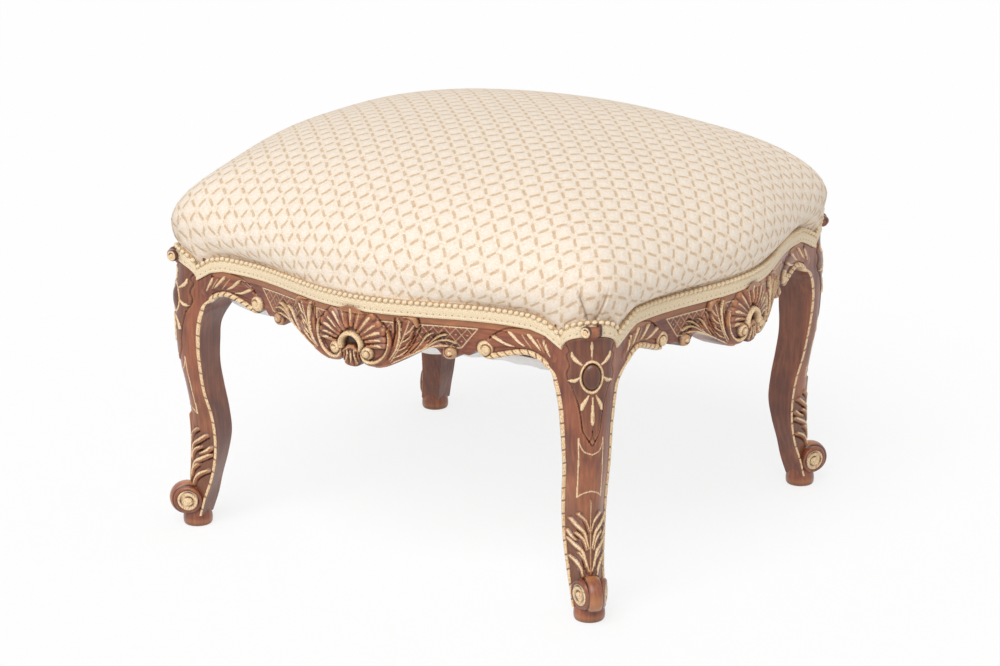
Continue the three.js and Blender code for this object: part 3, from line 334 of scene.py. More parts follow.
# Strokes on half of a leg's front: across from the ridge, height, half width
LEG_STROKES = [
    ("flat", 1.2, 0, [(0, 299, 24), (0, 288, 22), (0, 281, 23.6), (0, 271, 21.2), (0, 262, 23.2)]),
    ("flat", 1.2, 0, [(0, 262, 23.2), (0, 248, 17.4), (0, 234, 12.8), (0, 219, 10.6)]),
    ("flat", 1.2, 0, [(0, 219, 10.6), (0, 206, 8.6), (0, 199, 5.2), (0, 190, 0.8)]),
    ("cut", 1.4, 0, [(23.6, 291, 0.9), (21.3, 286, 1), (23.4, 280, 1.1), (21, 271, 1.1), (23.2, 261, 1.1),
                     (17.6, 249, 1.1)]),
    ("cut", 1.4, 0, [(17.6, 249, 1.1), (13, 234, 1.1), (10.4, 220, 1.1), (8.8, 206, 1), (5.2, 198, 1),
                     (0, 189, 0.9)]),
    ("round", 2.6, 1, [(0, 297, 1.1), (0, 292, 1.7), (0, 286, 1.2), (0, 280, 0.6)]),
    ("round", 2.6, 1, [(18.2, 284.7, 0.9), (17.3, 281, 2), (14.6, 277.5, 2.1), (9.5, 274, 1)]),
    ("round", 2.6, 1, [(20.4, 256.5, 1), (16.2, 257, 2.2), (12, 260.5, 0.9)]),
    ("round", 2.6, 1, [(3.5, 243.5, 0.8), (5.5, 239, 1.7), (8.3, 233.5, 2.4), (9.5, 228.2, 1.4)]),
    ("round", 2.8, 1, [(0, 241, 0.8), (0, 230, 1.6), (0, 218, 2.4), (0, 212.5, 1.2)]),
    ("cut", 1.2, 0, [(0, 206, 0.8), (0, 200, 1.6), (3.4, 193, 0.8)]),
    ("round", 0.5, 1, [(12.2, 197, 0.75), (12.2, 165, 0.75), (12.2, 131, 0.75)]),
    ("round", 0.5, 1, [(12.2, 197, 0.75), (11, 190, 0.75), (7.5, 183, 0.75), (0, 179.5, 0.75)]),
    ("round", 0.5, 1, [(12.2, 131, 0.75), (7, 136, 0.75), (0, 138.3, 0.75)]),
    ("round", 1.6, 0, [(0, 50, 14), (0, 80, 12.5), (0, 104, 10), (0, 119, 5.5), (0, 128, 2)]),
    ("round", 2.8, 0, [(0, 50, 1.6), (0, 88, 2), (0, 127, 1.2)]),
    ("round", 3.1, 1, [(0, 52, 0.6), (0, 88, 0.9), (0, 127, 0.8)]),
]
# The leaf's veins: each is a thin gold line on a brown lobe, with a cut below it
for vein in (
        [(9.7, 113.4, 0.7), (5.1, 108.6, 0.7), (2.5, 103.4, 0.6), (0.8, 95.4, 0.4)],
        [(15.5, 106.7, 0.8), (11, 100.7, 1.2), (5.1, 94.1, 1.1), (2.9, 84.8, 0.9), (1.2, 76.8, 0.4)],
        [(17.5, 93, 0.6), (15, 88.5, 0.9), (11.5, 85.5, 0.5)],
        [(11.4, 92.8, 0.7), (7, 88.8, 1), (4.4, 83.4, 0.8), (3, 76, 0.4)],
        [(17, 84.8, 0.8), (12.3, 79.5, 1.4), (7, 74.2, 1.3), (4.4, 66.3, 0.9), (1.2, 53, 0.5)],
        [(9, 72.2, 0.7), (6.5, 68.5, 0.9), (4.4, 64.9, 0.7), (3.4, 58, 0.4)],
        [(15.5, 66.3, 0.8), (11, 61.5, 1.2), (7.7, 55.6, 0.9), (6.4, 48, 0.5)]):
    LEG_STROKES.append(("round", 2.4, 0, [(a + 0.5, z - 0.8, w * 1.2 + 1.7) for a, z, w in vein]))
    LEG_STROKES.append(("cut", 1.3, 0, [(a + 2, z - 3.4, 0.9) for a, z, w in vein]))
    LEG_STROKES.append(("round", 3.2, 1, [(a, z, w * 1.25) for a, z, w in vein]))
# The band on the flank, from the toe up: from the flank's inner edge, height, half width
BEAD = [(w, z, w) for z, w in zip(
    (14, 60, 110, 160, 185, 210, 235, 250, 259), (1.6, 2.1, 2.25, 2.3, 2.5, 2.7, 2.8, 2.9, 2.9))]
BEAD += [(1.5, 266, 3), (-1.5, 268.8, 3.1), (-6, 272, 3.2)]
# Strokes on the end of a rail's carved wing that run on over the flank: along the rail from its
# middle, height, half width
WING_STROKES = [
    ("round", 1.2, 0, [(150, 279, 5), (165, 284, 7), (180, 287, 9), (195, 287, 9), (208, 282, 8),
                       (218, 274, 5)]),
    ("rope", 2.6, 1, [(148, 265, 3.2), (160, 268, 3.3), (175, 273, 3.3), (187, 275.5, 3.3), (195, 274.5, 3.3),
                      (203, 271.3, 3.2), (209, 267, 3.1)]),
    ("round", 2.6, 1, [(175, 279.5, 0.5), (166, 281, 1.6), (155, 286, 1.9), (152, 286.5, 0.8)]),
    ("round", 2.6, 1, [(186, 282, 0.5), (180, 285, 1.6), (172, 291.5, 1.9), (169, 294, 0.8)]),
    ("round", 1.9, 0.5, [(193, 281, 0.4), (188, 287, 1), (183, 293, 0.6)]),
    ("round", 2.6, 1, [(203, 281, 0.5), (199, 285, 1.6), (191, 293, 2), (189, 295, 0.8)]),
    ("round", 1.9, 0.5, [(207, 279, 0.4), (203, 285, 1), (199, 291, 0.6)]),
    ("round", 2.6, 1, [(214, 276, 0.5), (211, 281, 1.4), (207, 288, 1.7), (206, 291, 0.7)]),
    ("cut", 1.6, 0, [(149, 284, 1), (158, 291.5, 1.1), (168, 297, 1.1), (182, 299.4, 0.9)]),
    ("cut", 1.2, 0, [(206, 295.5, 0.9), (214, 287, 1), (220, 279, 0.9)]),
    *volute(145, 272.8, 8.6, 4.2, 0.95, 250),
]


# The knee's turn grows between two heights. Between two others the ridge comes to move over as far as
# the edges do, and the second is where the flank meets the rail.
TURN_START = 150
TURN_END = 235
RIDGE_START = 240
FLANK_END = 266
# The rail's wing is carved over the flank from this height up
WING_BOTTOM = 262
# The cabochon on the knee is an oval boss with a gilt ring round it
CABOCHON_MIDDLE = 261.5
CABOCHON_HALF = (9, 13)
RING_HALF = (10.5, 15.4)
RING_RADIUS = 12.5
RING_HALF_WIDTH = 1.1


def turned_knee(out, over, edge, half, z, front, weight, toward):
    """Turns the knee towards the stool's front or back, fading out down the leg."""
    rise = unit((z - TURN_START) / (TURN_END - TURN_START))
    angle = toward * KNEE_TURN * rise ** 2 * (3 - 2 * rise)
    reach = np.where(front, out - edge, 0)
    hold = np.clip(over, -half, half)
    top = unit((z - RIDGE_START) / (FLANK_END - RIDGE_START))
    slide = np.interp(z, KNEE_SLIDE[:, 0], KNEE_SLIDE[:, 1])
    slide = slide * np.where(front, 1 - 0.6 * (1 - np.abs(over) / half) * (1 - top), 1)
    move_out = reach * (np.cos(angle) - 1) - hold * np.sin(angle) + half * (1 - np.cos(angle))
    move_over = reach * np.sin(angle) + hold * (np.cos(angle) - 1) + toward * slide
    return out + weight * move_out, over + weight * move_over


def leg_body(toward):
    """The sawn and carved leg in its own frame, X out along the diagonal: grid, gold, dark wax with painted
    shade, and wear with painted highlight.
    """
    front = np.linspace(-1, 1, FRONT_COLUMNS)
    flank = np.arange(1, FLANK_COLUMNS + 1) / FLANK_COLUMNS
    side = np.array([0.25, 0.5, 0.75])
    # The kinds of column are 0 on the carved front, 1 on the flanks and 2 on the sawn inner sides
    kinds = np.repeat([0.0, 1, 2, 1], [FRONT_COLUMNS, FLANK_COLUMNS, 2 * len(side) + 1, FLANK_COLUMNS])
    signed = np.concatenate([front, flank, side, [1], -side[::-1], -flank[::-1]])
    swing = np.arcsin(np.clip(KNEE_HALF_WIDTH * front / KNEE_RADIUS, -1, 1)) / KNEE_ANGLE
    tops = np.full(len(kinds), FLANK_TOP)
    tops[kinds == 0] = KNEE_TOP + KNEE_ARCH * np.sqrt(unit(1 - swing ** 2))
    tops[kinds == 1] = KNEE_TOP + (FLANK_TOP - KNEE_TOP) * np.abs(signed[kinds == 1])
    low = np.arange(LEG_LEVELS[0, 0], RIDGE_START, ROW_STEP)[:, None] + 0 * tops
    high = RIDGE_START + (tops - RIDGE_START) * np.linspace(0, 1, 76)[:, None]
    z = np.vstack([low, high])
    ridge, edge, inner, half, width = (
        curve_through(z, LEG_LEVELS[:, 0], LEG_LEVELS[:, k]) for k in range(1, 6))
    share = np.broadcast_to(signed, z.shape)
    kind = np.broadcast_to(kinds, z.shape)
    step = width * ROOT_HALF
    turned = np.sign(share)
    out = np.select(
        [kind == 0, kind == 1],
        [edge + (ridge - edge) * (1 - np.abs(share) ** KNEE_FULLNESS), edge - step * np.abs(share)],
        (edge - step) * (1 - np.abs(share)) + inner * np.abs(share))
    over = np.select(
        [kind == 0, kind == 1],
        [half * share, turned * (half + step * np.abs(share))],
        turned * (half + step) * (1 - np.abs(share)))

    relief, gold = carve(np.zeros(z.shape), np.stack([np.abs(over), z], -1), LEG_STROKES)
    oval, around = (
        np.hypot(over / wide, (z - CABOCHON_MIDDLE) / high) for wide, high in (CABOCHON_HALF, RING_HALF))
    relief = np.where(oval < 1, 3.6 * np.sqrt(unit(1 - oval ** 2)), relief)
    gold = np.where(oval < 1.04, 0, gold)
    rim = unit(1 - ((around - 1) * RING_RADIUS / RING_HALF_WIDTH) ** 2)
    relief = np.where((around < 1) & (oval >= 1), -0.8, relief)
    relief = np.where(rim > 0, np.maximum(relief, 2.0 * rim ** 0.5), relief)
    gold = np.maximum(gold, rim ** 0.3)
    relief, gold = relief * (kind == 0), gold * (kind == 0)

    from_edge = width * (1 - np.abs(share))
    bead, bead_gold = carve(0 * z, np.stack([from_edge, z], -1), [("band", 1.5, 1, BEAD)])
    free = unit((FLANK_END - z) / 16)
    weight = np.select([kind == 0, kind == 1], [1 + 0 * z, 1 - np.abs(share) * (1 - free)], free)
    out, over = turned_knee(out, over, edge, half, z, kind == 0, weight, toward)
    grid = np.stack([out, over, z], -1)
    along = LEG_X - (np.abs(over) - out) * ROOT_HALF
    ground = -0.6 * unit((z - WING_BOTTOM) / 4)
    wing, wing_gold = carve(ground, np.stack([along, z], -1), WING_STROKES)
    wing, wing_gold = (np.where(z > WING_BOTTOM, a, 0) for a in (wing, wing_gold))
    wins = bead > wing
    relief = np.where(kind == 1, np.where(wins, bead, wing), relief)
    gold = np.where(kind == 1, np.where(wins, bead_gold, wing_gold), gold)
    relief = relief - 0.8 * (kind < 2) * unit(1 - (tops - z) / 1.5) ** 2
    soft = blurred(relief, 3)
    # Dark wax and painted shade lie where the relief is lower than round it, and raised places get wear and a
    # painted highlight.
    wax = np.clip((soft - relief - 0.25) / 0.8, 0, 0.85) * (kind < 2)
    wear = unit((relief - soft - 0.1) / 0.6) * (kind < 2)
    # The front is lighter towards the foot.
    wear = np.maximum(wear, 0.3 * unit((190 - z) / 60) * (kind == 0))
    # Painted shade, with dark wax, darkens the cabochon, the raised carving above 190 mm and the ground round
    # the leaf below 118 mm. The sawn inner sides are darker too.
    wax = np.maximum(wax, 0.5 * (oval < 1) * (kind == 0))
    dark = np.where(relief > 0.3, 0.28 * unit((z - 190) / 40), 0)
    dark = np.maximum(dark, 0.35 * unit((118 - z) / 20)) * (relief < 1.8)
    wax = np.maximum(wax, dark * (around > 1) * (gold < 0.2) * (kind == 0))
    wax = np.maximum(wax, 0.22 * (kind == 2))
    grid = grid + outward(grid) * relief[..., None]

    # The shelf, and the head above it, which lies well back under the cover
    last = grid[-1]
    run = np.roll(last, -1, 0) - np.roll(last, 1, 0)
    normal = np.stack([run[:, 1], -run[:, 0]], -1) / np.hypot(run[:, 0], run[:, 1])[:, None]
    shelf = last.copy()
    shelf[:, :2] -= (REBATE + 5) * normal * (kinds < 2)[:, None]
    head = shelf.copy()
    head[:, 2] = FRAME_TOP
    grid = np.concatenate([grid, shelf[None], head[None]])
    none = np.zeros((2, len(kinds)))
    return grid, *(np.vstack([a, none]) for a in (gold, wax, wear))


def turned_on_side(profile, sides, middle_out, middle_up):
    """A form turned about a level axis across the leg: profile rows are across, radius."""
    across, radius = np.array(profile, float).T
    angle = np.linspace(0, 2 * math.pi, sides, endpoint=False)
    return np.stack([
        middle_out + radius[:, None] * np.cos(angle),
        across[:, None] + 0 * angle,
        middle_up - radius[:, None] * np.sin(angle),
    ], -1), angle


def mirrored(half, middle):
    """A turned profile of across, radius from its left half and the radius in its middle."""
    return [(-a, r) for a, r in half] + [(0, middle)] + half[::-1]


TOE_OUT = 12
TOE_UP = 31
SPIRAL_PITCH = 5.4
SPIRAL_DEPTH = 1.5
TOE_SPLAY = 0.364


def toe_scroll():
    """The toe: a worn roll between two gilt spirals, with painted highlights on the roll and painted shade in
    its grooves, as grid, gold, wax and shade, and wear and highlight.
    """
    half = [(15.6, 0.4), (15.5, 1.6), (15, 3), (13.8, 4.1), (14, 5), (14.9, 6.2), (15.1, 8), (14.8, 9.6),
            (14.4, 10.9), (13.4, 11.5), (13.7, 12.2), (14.1, 13.4), (13.4, 14.6), (12, 15.2), (10.2, 15.4),
            (8.8, 15.3), (7.8, 14.9), (7.2, 15.7), (6.5, 17), (5, 17.8), (2.5, 18.3)]
    profile = np.array(mirrored(half, 18.4))
    grid, angle = turned_on_side(profile, 72, TOE_OUT, TOE_UP)
    across, radius = np.abs(profile).T
    side = np.sign(profile[:, 0])[:, None]
    on_disc = (across > 13.2) & (radius < 11.4)
    spiral = (angle[None] / (2 * math.pi) + radius[:, None] / SPIRAL_PITCH) % 1 - 0.5
    groove = np.exp(-(spiral / 0.12) ** 2) * (on_disc & (radius > 3.9))[:, None]
    grid[..., 1] -= side * SPIRAL_DEPTH * groove
    splay = TOE_SPLAY * (grid[..., 0] - TOE_OUT) * unit((across - 7.5) / 5)[:, None]
    grid[..., 1] -= side * splay
    gold = np.where(on_disc[:, None], 1 - groove, 0)
    lips = (radius > 11.2) & (radius < 11.9) & (across > 13)
    seams = (across > 7) & (across < 8)
    # Painted shade, with dark wax, lies in the spiral's groove, on the disc's lip and in the seams beside the
    # middle.
    wax = np.maximum(groove, (0.9 * (lips | seams))[:, None])
    gold = gold * (1 - lips)[:, None]
    # Painted highlights, with wear, run round the middle of the roll in three bands.
    wear = np.where(across < 7, 1, 0)[:, None] * unit(np.sin(3 * angle + 0.6) * 0.6 + 0.5)
    return grid, gold + 0 * angle, wax + 0 * angle, wear + 0 * grid[..., 0]


def knee_roll(toward):
    """The small roll over the knee: a wooden barrel with a gilt scroll end on the side towards the front
    or back, where the knee turns, and a plain end on the other."""
    half = [(6.2, 0.3), (6.1, 3.2), (5.6, 4.7), (4, 5.2), (2, 5.4)]
    barrel = turned_on_side(mirrored(half, 5.5), 32, 18.6, 308.6)[0]
    none = 0 * barrel[..., 0]
    parts = [(barrel, none, none, none + 0.3)]
    half = [(2.7, 0.3), (3, 1.2), (2.8, 2), (2.1, 2.6), (2.1, 3.2), (2.8, 3.9), (2.9, 4.9), (2.3, 5.7),
            (1, 6.1)]
    profile = mirrored(half, 6.2)
    disc, angle = turned_on_side(profile, 32, 0, 309)
    across, radius = np.abs(np.array(profile)).T
    ring = ((radius > 2.2) & (radius < 3.3) & (across > 1.5))[:, None] & (angle > 4)
    face = ((radius < 5.4) & (across > 1.2))[:, None] & (ring == 0)
    # Painted shade darkens each disc outside its face: its rim, its ring and its sides.
    for side, gold, set_out, lean in ((toward, face, 19.6, 49), (-toward, 0 * face, 15.4, 8)):
        turned = standing(disc, set_out, side * 6.6, -side * math.radians(lean))
        parts.append((turned, gold, 0.7 * (face == 0), 0 * ring))
    turn = np.linspace(0, 2 * math.pi, 24, endpoint=False)
    rings = []
    for up, out, half_out, half_over in ((296, 9, 3, 6), (301, 12.5, 3.8, 5.8), (306, 16, 3.5, 5.4)):
        rings.append(np.stack([out + half_out * np.cos(turn), half_over * np.sin(turn), up + 0 * turn], -1))
    neck = np.array(rings)
    parts.append((neck, *[0 * neck[..., 0]] * 3))
    shift = toward * KNEE_SHIFT
    return [(standing(grid - [KNEE_CHORD, 0, 0], KNEE_CHORD, shift, toward * KNEE_TURN), *marks)
            for grid, *marks in parts]


def foot_block():
    """The round block under the toe, worn at its lower edge."""
    profile = [
        (0.1, 9), (0, 13), (0.7, 14.8), (2.5, 15.8), (6, 16.2), (10, 16), (14, 15.2), (19, 14), (24, 12)]
    up, radius = np.array(profile).T
    angle = np.linspace(0, 2 * math.pi, 64, endpoint=False)
    grid = np.stack([
        radius[:, None] * np.cos(angle), radius[:, None] * np.sin(angle), up[:, None] + 0 * angle], -1)
    none = 0 * grid[..., 0]
    # The lowest 3 mm is darker, and the band from 0.5 to 8 mm is worn lighter.
    return grid, none, none + 0.25 * (up < 3)[:, None], none + 0.5 * ((up > 0.5) & (up < 8))[:, None]


LEG_PLACES = {
    "back_right": (LEG_X, LEG_Y, 45, 1),
    "back_left": (-LEG_X, LEG_Y, 135, -1),
    "front_left": (-LEG_X, -LEG_Y, 225, 1),
    "front_right": (LEG_X, -LEG_Y, -45, -1),
}
for number, (corner, (x, y, turn, toward)) in enumerate(LEG_PLACES.items()):
    leg = Shape()
    for grid, gold, wax, wear in [leg_body(toward), toe_scroll(), *knee_roll(toward), foot_block()]:
        grain = grid[..., [2, 1, 0]] + 700 * number
        leg.add(standing(grid, x, y, math.radians(turn)), gilt=gold, wax=wax, wear=wear, stock=grain)
    leg.piece(f"{corner}_carved_leg", walnut, "carved_walnut", f"{corner}_leg")

# Seat rails: four walnut rails sawn to a serpentine and tenoned into the legs. Each has a shell in the
# middle, scrolls, leaves and trellis on either side, a scalloped lower edge and a rebate for the tacks.
FRONT_BOW = 39
SIDE_BOW = 34
BOW_HALF_SPAN = 178
RAIL_THICKNESS = 28
SHOW_DROP_SPAN = 36
# How far the turned knee's ends lie from the leg's middle, along the long rails and along the side rails
KNEE_REACH = (KNEE_HALF_WIDTH * math.cos(KNEE_TURN) - KNEE_CHORD) * ROOT_HALF
LONG_KNEE = LEG_X - KNEE_REACH - 2 * KNEE_SHIFT * ROOT_HALF
SIDE_KNEE = LEG_Y - KNEE_REACH + 2 * KNEE_SHIFT * ROOT_HALF
LONG_HALF = 208
SIDE_HALF = 192
LONG_RAIL = {"half": LONG_HALF, "knee": LONG_KNEE, "face": FRAME_HALF_DEPTH, "bow": FRONT_BOW}
SIDE_RAIL = {"half": SIDE_HALF, "knee": SIDE_KNEE, "face": FRAME_HALF_WIDTH, "bow": SIDE_BOW}
RAILS = {
    "front": {**LONG_RAIL, "turn": -90},
    "right": {**SIDE_RAIL, "turn": 0},
    "back": {**LONG_RAIL, "turn": 90},
    "left": {**SIDE_RAIL, "turn": 180},
}
# The lower edge of half the front rail: distance from the middle, height
RAIL_EDGE = np.array([
    (0, 240.6), (4, 240.8), (8, 242), (11, 245.5), (13, 246.6), (17, 244), (23, 242.2), (30, 241.5),
    (40, 243.9), (50, 248.1), (60, 253.1), (70, 259.3), (80, 264.6), (87, 267.8), (92, 268.7), (97, 266),
    (101, 261), (107, 258.4), (113, 258.6), (118, 262.2), (122, 263.6), (130, 264), (133, 267.4),
    (137, 267.9), (142, 264), (148, 261.6), (154, 262.6), (165, 267), (177.6, 270.6), (188, 272.4),
    (198, 270.8), (LONG_HALF, 266.8),
])
RAIL_STROKES = [
    *WING_STROKES,
    # The small scroll, and the leafy band that sweeps down from it
    ("round", 1.8, 0, [(104, 271, 3), (92, 273, 5), (78, 268, 6), (62, 259, 6), (46, 250, 5), (32, 245, 3)]),
    ("round", 2.9, 1, [(114, 271.5, 0.7), (103, 272.4, 0.9), (92, 270.5, 1), (78, 264.5, 1),
                       (62, 256.5, 0.8), (48, 249.5, 0.5)]),
    ("round", 2.8, 0.9, [(116, 275.5, 0.5), (107, 278.3, 0.9), (96, 276, 1), (84, 268.5, 0.8),
                         (68, 260, 0.5)]),
    ("round", 2.9, 0.9, [(107, 284, 0.6), (100, 282.3, 1.1), (91, 276, 1), (80, 266, 0.5)]),
    ("round", 2.9, 0.9, [(92, 284.5, 0.6), (86, 281, 1.1), (80, 273, 1), (72, 263, 0.5)]),
    ("cut", 1.5, 0, [(104, 285.5, 0.9), (95, 281.5, 1), (87, 273, 0.9)]),
    ("cut", 1.5, 0, [(89, 286, 0.9), (83, 281, 1), (76, 270, 1), (68, 262, 0.7)]),
    *volute(109.5, 265.3, 7.4, 4.4, 1, 40, 0.35),
    # The upright leaf with its curled tip, and the long blade beside it
    ("round", 2.4, 0, [(46, 251, 4), (53, 262, 7), (60, 276, 9), (66, 289, 8), (70, 297, 5)]),
    ("round", 4.6, 0.12, [(62, 300, 2.2), (67, 300.5, 3), (73, 297, 3.4), (76, 291, 2.2)]),
    ("cut", 1.7, 0, [(77, 299, 0.8), (79, 290, 1), (76, 281, 1), (69, 268, 0.9), (62, 260, 0.7)]),
    ("round", 3.5, 1, [(47, 251, 0.5), (54, 262, 0.8), (60, 275, 0.9), (65, 287, 0.8), (68, 296, 0.5)]),
    ("round", 3.4, 1, [(55, 263, 0.4), (62, 267, 1.1), (69, 275, 0.7)]),
    ("round", 3.4, 1, [(59, 272, 0.4), (66, 277, 1.2), (72, 285, 0.7)]),
    ("round", 3.4, 1, [(62, 280, 0.4), (69, 286, 1.1), (74, 293, 0.6)]),
    ("round", 3.0, 0.9, [(50, 255, 0.4), (58, 259, 1), (66, 265, 0.5)]),
    ("cut", 1.3, 0, [(58, 266, 0.5), (66, 271, 0.9), (73, 280, 0.7)]),
    ("cut", 1.3, 0, [(62, 275, 0.5), (69, 281, 0.9), (75, 289, 0.7)]),
    ("round", 4.0, 1, [(55, 297, 0.7), (57.5, 288, 1.6), (56.5, 275, 1.6), (52.5, 263, 1.2),
                       (45, 252.5, 0.5)]),
    ("cut", 2.2, 0, [(51.5, 297, 0.9), (50.5, 288, 1.3), (50.5, 278, 1.2), (48.5, 268, 0.8)]),
    # The great scroll beside the shell: a brown band with a gold line on it
    ("round", 2.8, 0, [(43, 283, 1.5), (45.4, 272, 2.8), (43.6, 262, 3.2), (38.5, 253.4, 3.4), (29, 247, 3.6),
                       (20, 246.6, 3.4), (14.2, 251, 3), (13, 258, 2.6)]),
    ("round", 4.0, 1, [(42.7, 283, 0.5), (44.2, 274, 0.9), (43, 264, 1.1), (38.5, 255.4, 1.4),
                       (31, 249.4, 1.7), (24, 247.4, 1.8), (17, 248.8, 1.8), (13.6, 253.4, 1.7),
                       (12.8, 260, 1.4)]),
]
# The shell's flutes: outer end, inner end, how wide the gold is, how strong it is, how wide the flute is
SHELL_FLUTES = [
    (36, 265.5, 24.5, 266.4, 1.5, 1, 3.6),
    (35.6, 271.8, 23, 271.4, 1.3, 1, 4),
    (34, 280.3, 19, 275, 2.2, 1, 5),
    (29, 287.6, 17, 278.6, 1.3, 1, 5),
    (22.6, 294.5, 11.5, 280.8, 2, 1, 5.4),
    (11, 299, 7.5, 285, 1, 0.75, 6),
    (0, 301.5, 0, 287, 1.9, 1, 6),
]
for out, up, inner_out, inner_up, wide, paint, full in SHELL_FLUTES:
    RAIL_STROKES.append(("round", 2.7, 0, [
        (out * 1.1, up + 1, full), (out * 0.6 + inner_out * 0.4, up * 0.6 + inner_up * 0.4, full * 0.95),
        (inner_out * 0.8, inner_up - 2, full * 0.5)]))
for out, up, inner_out, inner_up, wide, paint, full in SHELL_FLUTES:
    RAIL_STROKES.append(("round", 3.7, paint, [
        (out, up, wide * 0.75), (out * 0.7 + inner_out * 0.3, up * 0.7 + inner_up * 0.3 + 0.6, wide),
        (inner_out, inner_up, 0.4)]))
arch = [(12.6 * math.cos(a), 263.4 + 12.6 * math.sin(a), 2.9) for a in np.radians(np.linspace(-14, 90, 7))]
RAIL_STROKES += [
    ("cut", 1.3, 0, [(45.5, 281.5, 0.7), (40, 287, 0.9), (34, 293, 0.9), (27, 299.5, 0.8)]),
    ("round", 5.6, 1, arch),
    *volute(19.4, 257.3, 7.3, 6, 1.35, 100),
    # The small hanging palmette in the hollow under the shell
    ("flat", 2.6, 0, [(0, 256.5, 8), (0, 251, 10.4), (0, 243.5, 10)]),
    ("round", 3.3, 0.5, [(0, 261.6, 0.7), (3.6, 260.6, 0.8), (5, 258, 0.6)]),
    ("round", 3.3, 0.5, [(5.4, 259, 0.7), (8.6, 257.6, 0.8), (9.6, 255, 0.6)]),
    ("round", 4.2, 1, [(0, 257.5, 0.6), (0, 251, 1.1), (0, 245, 0.6)]),
    ("round", 4, 1, [(4.2, 258, 0.5), (4.8, 252, 1.1), (7.6, 245, 0.8)]),
    ("cut", 1.6, 0, [(2.1, 258, 0.6), (2.5, 250, 0.9), (3.4, 243, 1)]),
    ("cut", 1.6, 0, [(7.2, 257, 0.6), (7, 251, 0.9), (9.8, 243, 1.1)]),
]


def bow_out(rail, along):
    """How far the serpentine face lies from the stool's middle."""
    share = np.minimum(np.abs(along) / BOW_HALF_SPAN, 1)
    return rail["face"] + rail["bow"] * (1 + np.cos(math.pi * share)) / 2


def show_top(rail, along):
    """The upper edge of the show wood, falling towards the knees."""
    distance = np.abs(along)
    stations = [0, rail["knee"] - SHOW_DROP_SPAN, rail["half"], rail["knee"]]
    return np.interp(distance, stations, [SHOW_TOP, SHOW_TOP, FLANK_TOP, KNEE_TOP])


TRELLIS_PITCH = 11.5
TRELLIS_SLOPE = 0.85
TRELLIS_TOP = 292
FRAME_LINE = 0.9
# The trellis's lower frame line starts this far from the rail's middle
LOWER_LINE_START = 84


def trellis(along, z, inside, outside, bottom):
    """Thin crossed lines with a dot between them, within a strip of level top and foot."""
    first, second = (
        np.abs(((along + slope * z) / TRELLIS_PITCH) % 1 - 0.5) for slope in (TRELLIS_SLOPE, -TRELLIS_SLOPE))
    lines = unit(1 - (np.minimum(first, second) / 0.045) ** 2)
    dots = unit(1 - (np.hypot(first - 0.5, second - 0.5) / 0.1) ** 2)
    level = (z < TRELLIS_TOP) & (z > bottom)
    within = (along > inside) & (along < outside) & level
    lower = np.hypot(z - bottom, 0.4) + 99 * (along < LOWER_LINE_START)
    ends = unit(1 - (np.minimum(np.abs(z - TRELLIS_TOP), lower) / FRAME_LINE) ** 2)
    ends = ends * (along > inside) * (along < outside + 0.5)
    side = unit(1 - ((along - outside) / FRAME_LINE) ** 2) * level
    return np.maximum(np.maximum(lines, dots) * 0.75 * within, np.maximum(ends, side))


RAIL_COLUMN = 0.82
# The shell's tip stands above the rail, and a round hollow is sunk under the shell
TIP_RISE = 5.2
TIP_HALF = 15
HOLLOW_MIDDLE = 262
HOLLOW_RADIUS = 11.6
HOLLOW_DEPTH = 2.6


